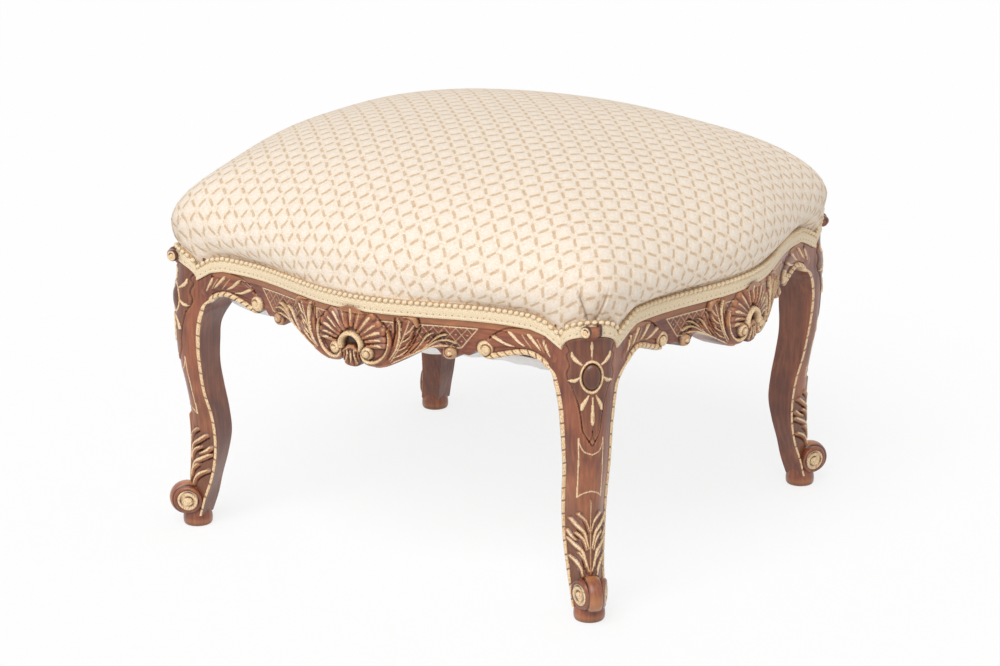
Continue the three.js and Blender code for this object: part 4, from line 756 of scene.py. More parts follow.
def rail_grid(rail):
    """One rail in its own frame, X out through the show face and Y along it."""
    stations = np.linspace(-rail["half"], rail["half"], 2 * int(rail["half"] / RAIL_COLUMN) + 1)
    # The carving on the front isn't quite even: its parts lie up to 5 mm aside
    aside = np.interp(stations, (-90, 0, 35, 60, 100, 150, 200), (0, 3, 0, -2.5, -5.2, -5.2, 0))
    aside = aside * (rail is RAILS["front"])
    drawn = np.abs(stations - aside) * LONG_HALF / rail["half"]
    low = curve_through(drawn, RAIL_EDGE[:, 0], RAIL_EDGE[:, 1])
    tip = TIP_RISE * unit(1 - (drawn / TIP_HALF) ** 2)
    top = show_top(rail, stations)
    rows = np.linspace(0, 1, 74)[:, None]
    z = low + (top + tip - low) * rows
    along = np.broadcast_to(drawn, z.shape)
    from_hollow = np.hypot(along, z - HOLLOW_MIDDLE)
    ground = -GROUND_DEPTH * unit((293.6 - z) / 0.7)
    ground = ground - HOLLOW_DEPTH * unit((HOLLOW_RADIUS - from_hollow) / 1.2)
    lattice = np.maximum(
        trellis(along, z, 74, 120 + (z - 270) * 17 / 22, 270.5), trellis(along, z, 22, 49, 281))
    ground = ground + 0.7 * lattice
    relief, gold = carve(ground, np.stack([along, z], -1), RAIL_STROKES)
    gold = np.where((lattice > 0.2) & (relief <= ground + 1e-6), lattice, gold)
    dome = 2.4 * unit(1 - (along / 44) ** 2 - ((z - 270) / 34) ** 2)
    relief = relief + dome
    # Both edges are rounded over, and the shell's tip stays full
    relief = relief - 0.8 * unit(1 - (top + tip - z) / 1.4) ** 2
    relief = relief - 1.2 * unit(1 - (z - low) / 1.6) ** 2
    relief = np.where((z > 298) & (along < 16), np.maximum(relief, 4.6), relief)
    soft = blurred(relief, 3)
    # Dark wax and painted shade lie where the relief is lower than round it.
    wax = np.clip((soft - relief - 0.25) / 1.1, 0, 0.7)
    # The round hollow under the shell is darkened with painted shade.
    wax = np.maximum(wax, unit(HOLLOW_RADIUS - 1 - from_hollow) * (relief < 0.5))
    # Raised places get wear and a painted highlight.
    wear = unit((relief - soft - 0.1) / 0.6)
    # The plain strip along the top is lighter.
    wear = np.maximum(wear, 0.55 * unit((z - 293) / 2))
    face = bow_out(rail, stations)
    slope = np.gradient(face, stations)
    lean = 1 / np.hypot(1, slope)
    front = np.stack([face + relief * lean, stations - relief * slope * lean, z], -1)

    def row(out, up, like):
        return np.stack([out + 0 * face, like, up + 0 * face], -1)

    inner = face - RAIL_THICKNESS
    lip = np.where(tip > 0, face + 3.9, face - 1)
    rebate = face - REBATE - 5 * unit((np.abs(stations) - rail["half"] + 60) / 50)
    before = [row(inner, low, stations), row(face - 14, low - 0.2, stations)]
    after = [
        row(lip, top + tip, stations), row(lip, top, stations), row(rebate, top, stations),
        row(rebate, FRAME_TOP, stations), row(inner, FRAME_TOP, stations),
        row(inner, (low + top) / 2, stations)]
    grid = np.concatenate([before, front, after])
    marks = (np.pad(mark, ((len(before), len(after)), (0, 0))) for mark in (gold, wax, wear))
    return [a.swapaxes(0, 1) for a in (grid, *marks)]


for number, (side, rail) in enumerate(RAILS.items()):
    grid, gold, wax, wear = rail_grid(rail)
    made = Shape()
    grain = grid[..., [1, 2, 0]] + 700 * (number + 5)
    made.add(standing(grid, 0, 0, math.radians(rail["turn"])), gilt=gold, wax=wax, wear=wear, stock=grain)
    made.piece(f"{side}_carved_rail", walnut, "carved_walnut", f"{side}_rail")

# Corner blocks, battens and screws: plain beech blocks screwed inside the corners, and battens glued
# inside the rails for the webbing tacks. They stay as the frame has them.
beech, tree = blank_material("planed_beech")
# Planed beech is pale and even, with short darker flecks about 2 mm long. Nothing is polished inside.
place = add(tree, "TexCoord").outputs["Object"]
noises = []
for stretch, detail in (((50, 50, 250), 3), ((500, 500, 2600), 2)):
    drawn_out = add(tree, "VectorMath", [place, stretch], operation="MULTIPLY")
    noises.append(add(tree, "TexNoise", {"Vector": drawn_out, "Scale": 1, "Detail": detail}))
tone, flecks = noises
plain = add(tree, "ValToRGB", [tone], [(0.3, "#a97c52"), (0.7, "#c79c6e")])
flecked = add(tree, "MapRange", [flecks, 0.6, 0.7, 0, 0.25])
shown = add(tree, "Mix", {0: flecked, 6: plain, 7: colour("#8a5f3c")}, data_type="RGBA")
planed = add(tree, "Bump", {"Height": flecks, "Strength": 0.3, "Distance": 0.0004})
surface = add(tree, "BsdfPrincipled", {
    "Base Color": shown, "Normal": planed, "IOR": 1.5, "Roughness": 0.62})
add(tree, "OutputMaterial", {"Surface": surface})

steel, tree = blank_material("japanned_steel")
# Lacquered steel is dark and half dull, with brown freckles of rust.
place = add(tree, "TexCoord").outputs["Object"]
rust = add(tree, "TexNoise", {"Vector": place, "Scale": 300, "Detail": 4})
shown = add(tree, "ValToRGB", [rust], [(0.45, "#6a6661"), (0.6, "#6f4a36")])
dull = add(tree, "Math", [rust, 0.4, 0.2], operation="MULTIPLY_ADD")
surface = add(tree, "BsdfPrincipled", {"Base Color": shown, "Roughness": dull, "Metallic": 1})
add(tree, "OutputMaterial", {"Surface": surface})
for name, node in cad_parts.items():
    if name.endswith(("_corner_block", "_batten")):
        node.material_slots[0].material = beech
    elif "_block_screw_" in name:
        node.material_slots[0].material = steel

# Webbing: six straps of jute webbing, three each way, woven through each other and tacked under the
# battens. They sag under the springs.
SPRING_PITCH = 120
WEB_WIDTH = 46
WEB_THICKNESS = 1.6
WEB_LIFT = 1.5
WEB_SAG = 32
# The ends of a strap lie flat under the batten for this length
WEB_TACKED = 26
BATTEN_BOTTOM = 264
BATTEN_THICKNESS = 20
BATTEN_HEIGHT = 28
FIT = 0.3


def plan_outline(bow_steps, knee_steps):
    """The line of the show faces seen from above, counterclockwise: points, show edge, outward."""
    points, heights = [], []
    for quarter in range(4):
        rail, beyond = (RAILS[name] for name in (("right", "front"), ("front", "right"))[quarter % 2])
        along = np.linspace(-rail["knee"], rail["knee"], bow_steps, endpoint=False)
        share = -np.cos(np.linspace(0, math.pi, knee_steps, endpoint=False))
        swing = KNEE_ANGLE * share
        reach, hold = KNEE_RADIUS * (np.cos(swing) - math.cos(KNEE_ANGLE)), KNEE_RADIUS * np.sin(swing)
        toward = (1, -1)[quarter % 2]
        turn_c, turn_s = math.cos(KNEE_TURN), toward * math.sin(KNEE_TURN)
        out = KNEE_CHORD + reach * turn_c - hold * turn_s
        over = reach * turn_s + hold * turn_c + toward * KNEE_SHIFT
        leg_out, leg_along = rail["face"] - LEG_INSET, beyond["face"] - LEG_INSET
        x = np.concatenate([bow_out(rail, along), leg_out + (out - over) * ROOT_HALF])
        y = np.concatenate([along, leg_along + (out + over) * ROOT_HALF])
        c, s = round(math.cos(quarter * math.pi / 2)), round(math.sin(quarter * math.pi / 2))
        points.append(np.stack([c * x - s * y, s * x + c * y], -1))
        heights += [show_top(rail, along), KNEE_TOP + KNEE_ARCH * np.sqrt(1 - share ** 2)]
    points = np.concatenate(points)
    run = np.roll(points, -1, 0) - np.roll(points, 1, 0)
    normal = np.stack([run[:, 1], -run[:, 0]], -1) / np.hypot(run[:, 0], run[:, 1])[:, None]
    return points, np.concatenate(heights), normal


fine_outline = plan_outline(240, 60)[0]
fine_angles = np.arctan2(fine_outline[:, 1], fine_outline[:, 0])
fine_reach = np.hypot(fine_outline[:, 0], fine_outline[:, 1])


def show_radius(angle):
    """Distance from the middle of the stool to the show face in a direction."""
    return np.interp(angle, fine_angles, fine_reach, period=2 * math.pi)


def inner_radius(angle, margin):
    """Distance to the inner side of the rails and leg heads in a direction."""
    across, deep = np.abs(np.cos(angle)) + 1e-9, np.abs(np.sin(angle)) + 1e-9
    leg_face = np.maximum((LONG_HALF - margin) / across, (SIDE_HALF - margin) / deep)
    return np.minimum(show_radius(angle) - RAIL_THICKNESS - margin, leg_face)


def web_height(x, y):
    """The middle of the webbing, sagging between the battens."""
    reach = inner_radius(np.arctan2(y, x), 0) - BATTEN_THICKNESS - 5
    share = np.minimum(np.hypot(x, y) / reach, 1)
    return BATTEN_BOTTOM - FIT - WEB_THICKNESS / 2 - WEB_LIFT - WEB_SAG * np.sqrt(1 - share ** 2)


def strap(rail, row, upper):
    """One strap in the frame of the rail it runs towards, Y along it, as a grid of rings."""
    middle = row * SPRING_PITCH
    end = float(bow_out(rail, middle)) - RAIL_THICKNESS - 3
    along = np.linspace(-end, end, 150)
    lift = 0 * along
    for column in (-1, 0, 1):
        away = np.abs(along - column * SPRING_PITCH)
        fade = unit((away - WEB_WIDTH / 2) / (SPRING_PITCH / 2 - WEB_WIDTH / 2))
        lift += (1 if (row + column) % 2 == 0 else -1) * WEB_LIFT * (1 + np.cos(math.pi * fade)) / 2
    half = np.linspace(-WEB_WIDTH / 2, WEB_WIDTH / 2, 12)
    across = np.concatenate([half, half[::-1]])[None] + middle + 0 * along[:, None]
    side = np.repeat([-1, 1], len(half)) * WEB_THICKNESS / 2
    length = along[:, None] + 0 * across
    sag = web_height(across, length) if rail["face"] == FRAME_HALF_DEPTH else web_height(length, across)
    tacked = unit((np.abs(length) - end + WEB_TACKED) / 6)
    flat = BATTEN_BOTTOM - FIT - WEB_THICKNESS / 2
    up = (sag + (lift if upper else -lift)[:, None]) * (1 - tacked) + flat * tacked
    laid = np.stack([across - middle, length, side + 0 * across], -1)
    return np.stack([across, length, up + side], -1), laid


# Jute webbing is a coarse, matt, stiff weave of pale brown threads 1.5 mm wide, with two dark stripes.
jute, tree = blank_material("woven_jute_webbing")
place = add(tree, "Attribute", attribute_name="laid").outputs["Vector"]
laid = add(tree, "SeparateXYZ", [place])
waves = []
for way, count in (("X", 4.19), ("Y", 2.86)):
    phase = add(tree, "Math", [laid.outputs[way], count], operation="MULTIPLY")
    waves.append(add(tree, "Math", [phase], operation="SINE"))
weave = add(tree, "Math", waves, operation="MULTIPLY")
off_middle = add(tree, "Math", [laid.outputs["X"]], operation="ABSOLUTE")
stripe = add(tree, "Math", [off_middle, 17, 1.2], operation="COMPARE")
drawn_out = add(tree, "VectorMath", [place, (1.2, 0.15, 1)], operation="MULTIPLY")
fibre = add(tree, "TexNoise", {"Vector": drawn_out, "Scale": 1, "Detail": 3})
plain = add(tree, "ValToRGB", [fibre], [(0.3, "#8d7146"), (0.7, "#c3a877")])
shown = add(tree, "Mix", {0: stripe, 6: plain, 7: colour("#4b3a2a")}, data_type="RGBA")
height = add(tree, "Math", [weave, 0.5, fibre], operation="MULTIPLY_ADD")
woven = add(tree, "Bump", {"Height": height, "Strength": 0.6, "Distance": 0.0006})
surface = add(tree, "BsdfPrincipled", {
    "Base Color": shown, "Normal": woven, "Roughness": 0.95, "Sheen Weight": 0.2, "Sheen Roughness": 0.5})
add(tree, "OutputMaterial", {"Surface": surface})
for number, row in ((1, -1), (2, 0), (3, 1)):
    for way, side, turn in (("front_to_back", "front", 0), ("side_to_side", "right", -90)):
        made = Shape()
        grid, laid_out = strap(RAILS[side], row, side == "front")
        made.add(standing(grid, 0, 0, math.radians(turn)), laid=laid_out)
        made.piece(f"strap_{way}_{number}", jute, "webbing", f"webbing_{way}_{number}")

# Springs and twine: nine double-cone coil springs of steel wire stand on the webbing's crossings, and
# six lines of laid flax twine, tacked to the battens, tie them down.
CANVAS_RISE = 50
CANVAS_INSET = 21
CROWN_POWER = 2.2
CANVAS_GAP = 2.5
WIRE_RADIUS = 1.8
WIRE_GAP = 1.2
COIL_RADIUS = 38
COIL_WAIST = 13
COIL_TURNS = 4
TWINE_RADIUS = 1.3
TWINE_GAP = 0.6
TWINE_LAY = 2.4


def canvas_height(x, y):
    """The underside of the spring canvas, which the springs push up."""
    reach = (show_radius(np.arctan2(y, x)) - CANVAS_INSET) * 0.92
    share = np.minimum(np.hypot(x, y) / reach, 1)
    return FRAME_TOP + FIT + CANVAS_RISE * (1 - share ** CROWN_POWER) ** 0.75


def length_along(path):
    """How far along a path each of its points lies."""
    return np.concatenate([[0], np.cumsum(np.linalg.norm(np.diff(path, axis=0), axis=1))])


def swept(path, radius, sides, lobes=0, lay=1.0):
    """A round section swept along a path. With lobes it is a rope whose strands turn as they go."""
    path = np.array(path)
    run = np.gradient(path, axis=0)
    run /= np.linalg.norm(run, axis=1)[:, None]
    across = np.cross(run, [0, 0, 1])
    across /= np.linalg.norm(across, axis=1)[:, None]
    over = np.cross(across, run)
    along = length_along(path)
    angle = np.linspace(0, 2 * math.pi, sides, endpoint=False)
    bulge = 1 + (0.14 * np.cos(lobes * (angle - along[:, None] / lay)) - 0.1 if lobes else 0 * along[:, None])
    reach = radius * bulge[..., None]
    return path[:, None] + reach * (
        across[:, None] * np.cos(angle)[None, :, None] + over[:, None] * np.sin(angle)[None, :, None])


# The first and last 0.6 turn of a spring lie flat
turn = np.linspace(0, COIL_TURNS, 121)
height = unit((turn - 0.6) / (COIL_TURNS - 1.2))
coil = COIL_RADIUS - COIL_WAIST * np.sin(math.pi * height)
for first in (-1, 0, 1):
    for second in (-1, 0, 1):
        x = first * SPRING_PITCH + coil * np.cos(2 * math.pi * turn)
        y = second * SPRING_PITCH + coil * np.sin(2 * math.pi * turn)
        low = web_height(x, y) + WEB_LIFT + WEB_THICKNESS / 2 + WIRE_GAP + WIRE_RADIUS
        high = canvas_height(x, y) - CANVAS_GAP - 4 * TWINE_RADIUS - WIRE_GAP - WIRE_RADIUS
        made = Shape()
        made.add(swept(np.stack([x, y, low + (high - low) * height], -1), WIRE_RADIUS, 10))
        made.piece(f"coil_{first + 2}_{second + 2}", steel, "steel", f"spring_{first + 2}_{second + 2}")

# Laid flax twine is a hard, slightly glossy cord of three strands, tan with darker dirt in its lay.
flax, tree = blank_material("laid_flax_twine")
place = add(tree, "TexCoord").outputs["Object"]
strand = add(tree, "TexNoise", {"Vector": place, "Scale": 600, "Detail": 4})
shown = add(tree, "ValToRGB", [strand], [(0.3, "#8a7148"), (0.7, "#c9b07e")])
fuzz = add(tree, "TexNoise", {"Vector": place, "Scale": 3000, "Detail": 3})
hairy = add(tree, "Bump", {"Height": fuzz, "Strength": 0.5, "Distance": 0.0003})
surface = add(tree, "BsdfPrincipled", {"Base Color": shown, "Normal": hairy, "Roughness": 0.75})
add(tree, "OutputMaterial", {"Surface": surface})
for number, row in ((1, -1), (2, 0), (3, 1)):
    for way, side, turn in (("front_to_back", "front", 0), ("side_to_side", "right", -90)):
        middle = row * SPRING_PITCH
        along = np.linspace(-SPRING_PITCH - COIL_RADIUS, SPRING_PITCH + COIL_RADIUS, 60)
        if side == "front":
            up = canvas_height(middle + 0 * along, along) - CANVAS_GAP - 3 * TWINE_RADIUS - TWINE_GAP
        else:
            up = canvas_height(along, middle + 0 * along) - CANVAS_GAP - TWINE_RADIUS
        # Each end lies along the top of its batten for 10 mm
        tack = float(bow_out(RAILS[side], middle)) - RAIL_THICKNESS - BATTEN_THICKNESS / 2
        tack_up = BATTEN_BOTTOM + BATTEN_HEIGHT + FIT + TWINE_RADIUS
        along = np.concatenate([[-tack - 5, -tack + 5], along, [tack - 5, tack + 5]])
        line = np.stack([middle + 0 * along, along, np.pad(up, 2, constant_values=tack_up)], -1)
        length = length_along(line)
        even = np.linspace(0, length[-1], int(length[-1] / 1.2))
        line = np.column_stack([np.interp(even, length, c) for c in line.T])
        made = Shape()
        made.add(standing(swept(line, TWINE_RADIUS, 9, 3, TWINE_LAY), 0, 0, math.radians(turn)))
        made.piece(f"cord_{way}_{number}", flax, "twine", f"twine_{way}_{number}")

# Spring canvas: a square of hessian tacked over the springs to the top of the rails. It is one flat
# sheet, stretched, and the springs round it up.
CANVAS_THICKNESS = 1.4


def sheet_grid(angle, shares, radius, upper, thickness):
    """A sheet as one grid from the middle of its lower side round its edge to the middle on top."""
    x, y = shares[:, None] * radius * np.cos(angle), shares[:, None] * radius * np.sin(angle)
    top = np.stack([x, y, upper(x, y)], -1)
    return np.concatenate([(top - thickness * outward(top))[::-1], top])


# Hessian is an open, matt, brown plain weave of jute with threads 1.6 mm apart.
hessian, tree = blank_material("plain_woven_hessian")
place = add(tree, "Attribute", attribute_name="laid").outputs["Vector"]
laid = add(tree, "SeparateXYZ", [place])
waves = []
for way in "XY":
    phase = add(tree, "Math", [laid.outputs[way], 3.93], operation="MULTIPLY")
    waves.append(add(tree, "Math", [phase], operation="SINE"))
crossed = add(tree, "Math", waves, operation="MAXIMUM")
drawn_out = add(tree, "VectorMath", [place, (0.05, 0.6, 1)], operation="MULTIPLY")
slub = add(tree, "TexNoise", {"Vector": drawn_out, "Scale": 1, "Detail": 3})
plain = add(tree, "ValToRGB", [slub], [(0.35, "#8b6e42"), (0.65, "#b6955f")])
gap = add(tree, "MapRange", [crossed, 0.3, 0.55, 1, 0])
shown = add(tree, "Mix", {0: gap, 6: plain, 7: colour("#46341f")}, data_type="RGBA")
woven = add(tree, "Bump", {"Height": crossed, "Strength": 0.7, "Distance": 0.0006})
surface = add(tree, "BsdfPrincipled", {"Base Color": shown, "Normal": woven, "Roughness": 0.95})
add(tree, "OutputMaterial", {"Surface": surface})
angle = np.linspace(0, 2 * math.pi, 240, endpoint=False)
shares = np.linspace(1, 0.01, 34)
made = Shape()
grid = sheet_grid(
    angle, shares, show_radius(angle) - CANVAS_INSET,
    lambda x, y: canvas_height(x, y) + CANVAS_THICKNESS, CANVAS_THICKNESS)
made.add(grid, laid=grid)
spring_cloth = made.piece("spring_cloth", hessian, "hessian", "spring_canvas")

# Stuffing and wadding: curled hair teased over the canvas into the seat's dome, with a layer of
# cotton wadding over it to keep the hair from working through. Neither is seen.
WAIST_HEIGHT = 344
APEX_HEIGHT = 450.5
SEAT_HALF_WIDTH = 320
SEAT_HALF_DEPTH = 281
SEAT_OVERHANG = 2.6
RAIL_FOLLOW_SHARE = 0.6
SEAT_FULLNESS = 2.4
CROWN_ROUNDING = 1.86
COVER_INSET = 2
COVER_HEM = 2
BRAID_HEIGHT = 17
# How deep the wadding's two sides and the stuffing's top lie below the seat's outer surface
WADDING_TOP = 5.5
WADDING_FOOT = 13.5
STUFFING_TOP = 15.5
STUFFING_LIFT = 3.9


def rounded_square(angle, half_width, half_depth, squareness):
    """Distance from the middle to the line of a rounded rectangle."""
    across, deep = np.abs(np.cos(angle)) / half_width, np.abs(np.sin(angle)) / half_depth
    return (across ** squareness + deep ** squareness) ** (-1 / squareness)


def seat_surface(outline, hem, skirt_rows, crown_shares):
    """The cover's outer surface as rings, from a hem line up over the waist to the crown."""
    points, edge, normal = outline
    angle = np.arctan2(points[:, 1], points[:, 0])
    waist = RAIL_FOLLOW_SHARE * (np.hypot(points[:, 0], points[:, 1]) + SEAT_OVERHANG)
    waist = waist + (1 - RAIL_FOLLOW_SHARE) * rounded_square(angle, SEAT_HALF_WIDTH, SEAT_HALF_DEPTH, 4.5)
    z = hem + (WAIST_HEIGHT - hem) * np.linspace(0, 1, skirt_rows, endpoint=False)[:, None]
    share = unit((WAIST_HEIGHT - z) / (WAIST_HEIGHT - edge - BRAID_HEIGHT - COVER_HEM))
    swell = ((1 - share ** 2.2) ** 0.8)[..., None]
    ray = np.stack([np.cos(angle), np.sin(angle)], -1)
    tacked = points - COVER_INSET * normal
    skirt = np.concatenate([tacked + (waist[:, None] * ray - tacked) * swell, z[..., None]], -1)
    share = np.asarray(crown_shares)[:, None]
    top = rounded_square(angle, SEAT_HALF_WIDTH, SEAT_HALF_DEPTH, 2.5)
    radius = (top + (waist - top) * share ** 3.9) * share
    rise = unit(1 - share ** SEAT_FULLNESS) ** (1 / CROWN_ROUNDING)
    up = WAIST_HEIGHT + (APEX_HEIGHT - WAIST_HEIGHT) * rise
    crown = np.stack([radius * ray[:, 0], radius * ray[:, 1], up + 0 * radius], -1)
    return np.concatenate([skirt, crown])


def lumpy(grid, seed, size, depth):
    """Moves a surface in and out in soft lumps of about one size, the same on every run."""
    random = np.random.default_rng(seed)
    wave = random.normal(size=(14, 3))
    wave *= (2 * math.pi / size) / np.linalg.norm(wave, axis=1)[:, None]
    lumps = np.sin(grid @ wave.T + random.uniform(0, 2 * math.pi, 14)).sum(-1) / math.sqrt(14)
    return grid + outward(grid) * (depth * lumps)[..., None]


coarse_outline = plan_outline(60, 14)
crown_shares = 1 - np.linspace(0, 1, 30)[:29] ** 1.6
base = FRAME_TOP + 2 * FIT + CANVAS_THICKNESS + 0 * coarse_outline[1]
surface_rings = seat_surface(coarse_outline, base, 5, crown_shares)
upper = surface_rings - STUFFING_TOP * outward(surface_rings)
upper[0, :, 2] = base
x, y = np.moveaxis(upper[0, :, :2] * np.linspace(0.02, 1, 20)[:-1, None, None], -1, 0)
lower = np.stack([x, y, canvas_height(x, y) + STUFFING_LIFT], -1)
made = Shape()
made.add(lumpy(np.concatenate([lower, upper]), 3, 24, 0.7))

# Curled horsehair: a dark, springy mat of black and brown hairs with a dull shine.
hair, tree = blank_material("curled_horsehair")
place = add(tree, "TexCoord").outputs["Object"]
curls = add(tree, "TexNoise", {"Vector": place, "Scale": 350, "Detail": 8})
shown = add(tree, "ValToRGB", [curls], [(0.4, "#1f1712"), (0.55, "#4a382a"), (0.7, "#76604a")])
matted = add(tree, "Bump", {"Height": curls, "Strength": 0.9, "Distance": 0.002})
surface = add(tree, "BsdfPrincipled", {
    "Base Color": shown, "Normal": matted, "Roughness": 0.7, "Sheen Weight": 0.3, "Sheen Roughness": 0.4})
add(tree, "OutputMaterial", {"Surface": surface})
stuffing = made.piece("horsehair_pad", hair, "hair", "hair_stuffing")

base = FRAME_TOP + FIT + 0 * coarse_outline[1]
surface_rings = seat_surface(coarse_outline, base, 6, crown_shares)
facing = outward(surface_rings)
upper = surface_rings - WADDING_TOP * facing
under = surface_rings - WADDING_FOOT * facing
upper[0, :, 2] = under[0, :, 2] = base
made = Shape()
made.add(lumpy(np.concatenate([under[::-1], upper]), 5, 40, 0.5))

# Cotton wadding: a soft, matt, off-white fleece with faint seeds and thin places.
cotton, tree = blank_material("cotton_wadding")
place = add(tree, "TexCoord").outputs["Object"]
fleece = add(tree, "TexNoise", {"Vector": place, "Scale": 120, "Detail": 6})
shown = add(tree, "ValToRGB", [fleece], [(0.3, "#ddd5c4"), (0.6, "#f0ebdf")])
fluffy = add(tree, "Bump", {"Height": fleece, "Strength": 0.6, "Distance": 0.002})
surface = add(tree, "BsdfPrincipled", {
    "Base Color": shown, "Normal": fluffy, "Roughness": 1, "Sheen Weight": 0.5, "Sheen Roughness": 0.6})
add(tree, "OutputMaterial", {"Surface": surface})
wadding = made.piece("cotton_layer", cotton, "wadding", "wadding")

# Top cover: one piece of cream damask pulled down over the dome and tacked to the rebate of the rails,
# with two pleats folded in above each knee to take up the corner's fullness.
COVER_THICKNESS = 1.6
# A pleat's fold lies this far from the knee's middle at its foot, leans out by this much and ends here
PLEAT_APART = 5.4
PLEAT_LEAN = 0.35
PLEAT_FOOT = 320
PLEAT_TOP = 356
PLEAT_DEPTH = 2.2
# The corners are darker below this height
CORNERS_DARKER_BELOW = 385
# The cloth's back is drawn with every third ring only
BACK_STEP = 3
outline = plan_outline(110, 84)
crown_shares = 1 - np.linspace(0, 1, 61)[:60] ** 1.7
cover = seat_surface(outline, outline[1] + COVER_HEM, 28, crown_shares)
facing = outward(cover)
# The way across the turned knee, and the two folds that run up and apart from the braid
x, y, z = np.moveaxis(cover, -1, 0)
across = ((np.abs(y) - LEG_Y) - (np.abs(x) - LEG_X)) * ROOT_HALF - KNEE_SHIFT - 1
at_corner = (np.abs(x) > 200) & (np.abs(y) > 185)
beyond = np.abs(across) - PLEAT_APART - PLEAT_LEAN * np.clip(z - PLEAT_FOOT, -20, 34)
fades = unit((PLEAT_TOP - z) / 14) * at_corner
inside = 1 / (1 + np.exp(np.clip(beyond / 0.45, -30, 30)))
fold = 1.1 * np.exp(-((beyond - 1.6) / 2.6) ** 2) - PLEAT_DEPTH * inside * np.exp(-(beyond / 5) ** 2)
# Painted shade: the pleats' folds and the cloth between them are darkened in colour.
crease = fades * np.maximum(np.exp(-((beyond + 0.5) / 1) ** 2), 0.2 * inside)
# The corners are also darker lower down.
near_corner = unit((np.abs(x) - 190) / 70) * unit((np.abs(y) - 175) / 60)
crease = np.maximum(crease, 0.16 * near_corner * unit((CORNERS_DARKER_BELOW - z) / 50))
cover = lumpy(cover + facing * (fades * fold)[..., None], 11, 150, 0.7)
inner = (cover - COVER_THICKNESS * outward(cover))[::BACK_STEP]
rows = np.concatenate([inner[::-1], cover])
# Each point's place on the cloth before it was pulled down, from the middle outwards
steps = np.linalg.norm(np.diff(cover[::-1], axis=0), axis=-1)
first = np.hypot(cover[-1, :, 0], cover[-1, :, 1])[None]
length = np.concatenate([first, first + np.cumsum(steps, axis=0)])[::-1]
angle = np.arctan2(outline[0][:, 1], outline[0][:, 0])
laid = np.stack([length * np.cos(angle), length * np.sin(angle), 0 * length], -1)
laid, folded = (np.concatenate([a[::BACK_STEP][::-1], a]) for a in (laid, crease))
made = Shape()
made.add(rows, laid=laid, crease=folded)

# Woven cotton and silk damask: a matt cream ground with a trellis of tan dashes, each about 12 mm long,
# and round puffs of satin, painted paler for their sheen. The cloth has a soft sheen, and the raised threads
# give fine shadows.
REPEAT_WIDE = 25
REPEAT_LONG = 28
damask, tree = blank_material("cream_trellis_damask")
place = add(tree, "Attribute", attribute_name="laid").outputs["Vector"]
pressed = add(tree, "Attribute", attribute_name="crease").outputs["Fac"]
wander = add(tree, "TexNoise", {"Vector": place, "Scale": 0.12, "Detail": 3}).outputs["Color"]
shift = add(tree, "VectorMath", [wander, (0.5, 0.5, 0.5)], operation="SUBTRACT")
bent = add(tree, "VectorMath", [shift, (3.6, 3.6, 0), place], operation="MULTIPLY_ADD")
where = add(tree, "SeparateXYZ", [bent])
across = add(tree, "Math", [where.outputs["X"], 1 / REPEAT_WIDE], operation="MULTIPLY")
down = add(tree, "Math", [where.outputs["Y"], 1 / REPEAT_LONG], operation="MULTIPLY")
first, second = (
    add(tree, "Math", [add(tree, "Math", [across, down], operation=way), 0.5], operation="PINGPONG")
    for way in ("ADD", "SUBTRACT"))
# A dash lies on each line of the trellis, soft at its sides, and stops short of the crossings
dashes = []
for off, along in ((first, second), (second, first)):
    beside_it = add(tree, "MapRange", [off, 0.04, 0.12, 1, 0], interpolation_type="SMOOTHSTEP")
    between = add(tree, "MapRange", [along, 0.16, 0.28, 0, 1], interpolation_type="SMOOTHSTEP")
    dashes.append(add(tree, "Math", [beside_it, between], operation="MULTIPLY"))
dashes = add(tree, "Math", dashes, operation="MAXIMUM")
puff = add(tree, "Math", [first, second], operation="MULTIPLY")
# The threads, 0.5 mm apart in the cloth, are drawn 1.4 mm apart so that they show
noises = []
for stretch in ((0.85, 0.22, 1), (0.2, 0.8, 1)):
    drawn_out = add(tree, "VectorMath", [place, stretch], operation="MULTIPLY")
    noises.append(add(tree, "TexNoise", {"Vector": drawn_out, "Scale": 1, "Detail": 3}))
warp = noises[0]
threads = add(tree, "Math", noises, operation="ADD")
threads = add(tree, "Math", [threads, 0.5], operation="MULTIPLY")
ground = add(tree, "ValToRGB", [threads], [(0.3, "#dabe9e"), (0.46, "#efdbc3"), (0.6, "#f9eedf")])
# Painted sheen: the satin puffs are painted paler.
painted_satin_sheen = add(tree, "Math", [puff, 2.4], operation="MULTIPLY")
ground = add(tree, "Mix", {0: painted_satin_sheen, 6: ground, 7: colour("#faf0e4")}, data_type="RGBA")
broken = add(tree, "MapRange", [warp, 0.3, 0.6, 0.25, 0.95])
broken = add(tree, "Math", [dashes, broken], operation="MULTIPLY")
woven = add(tree, "Mix", {0: broken, 6: ground, 7: colour("#d0ad84")}, data_type="RGBA")
# Painted shade darkens the pleats' folds, and the corners are darker lower down.
fold_shade_and_dark_corners = add(tree, "Math", [pressed, 0.9], operation="MULTIPLY")
woven = add(tree, "Mix", {0: fold_shade_and_dark_corners, 6: woven, 7: colour("#85603f")}, data_type="RGBA")
height = add(tree, "Math", [puff, 5, threads], operation="MULTIPLY_ADD")
height = add(tree, "Math", [dashes, -0.7, height], operation="MULTIPLY_ADD")
raised = add(tree, "Bump", {"Height": height, "Strength": 0.5, "Distance": 0.0012})
surface = add(tree, "BsdfPrincipled", {
    "Base Color": woven, "Normal": raised, "Roughness": 0.75,
    "Sheen Weight": 0.3, "Sheen Roughness": 0.4, "Sheen Tint": colour("#fff3e4")})
add(tree, "OutputMaterial", {"Surface": surface})
seat = made.piece("damask_cover", damask, "damask", "top_cover")

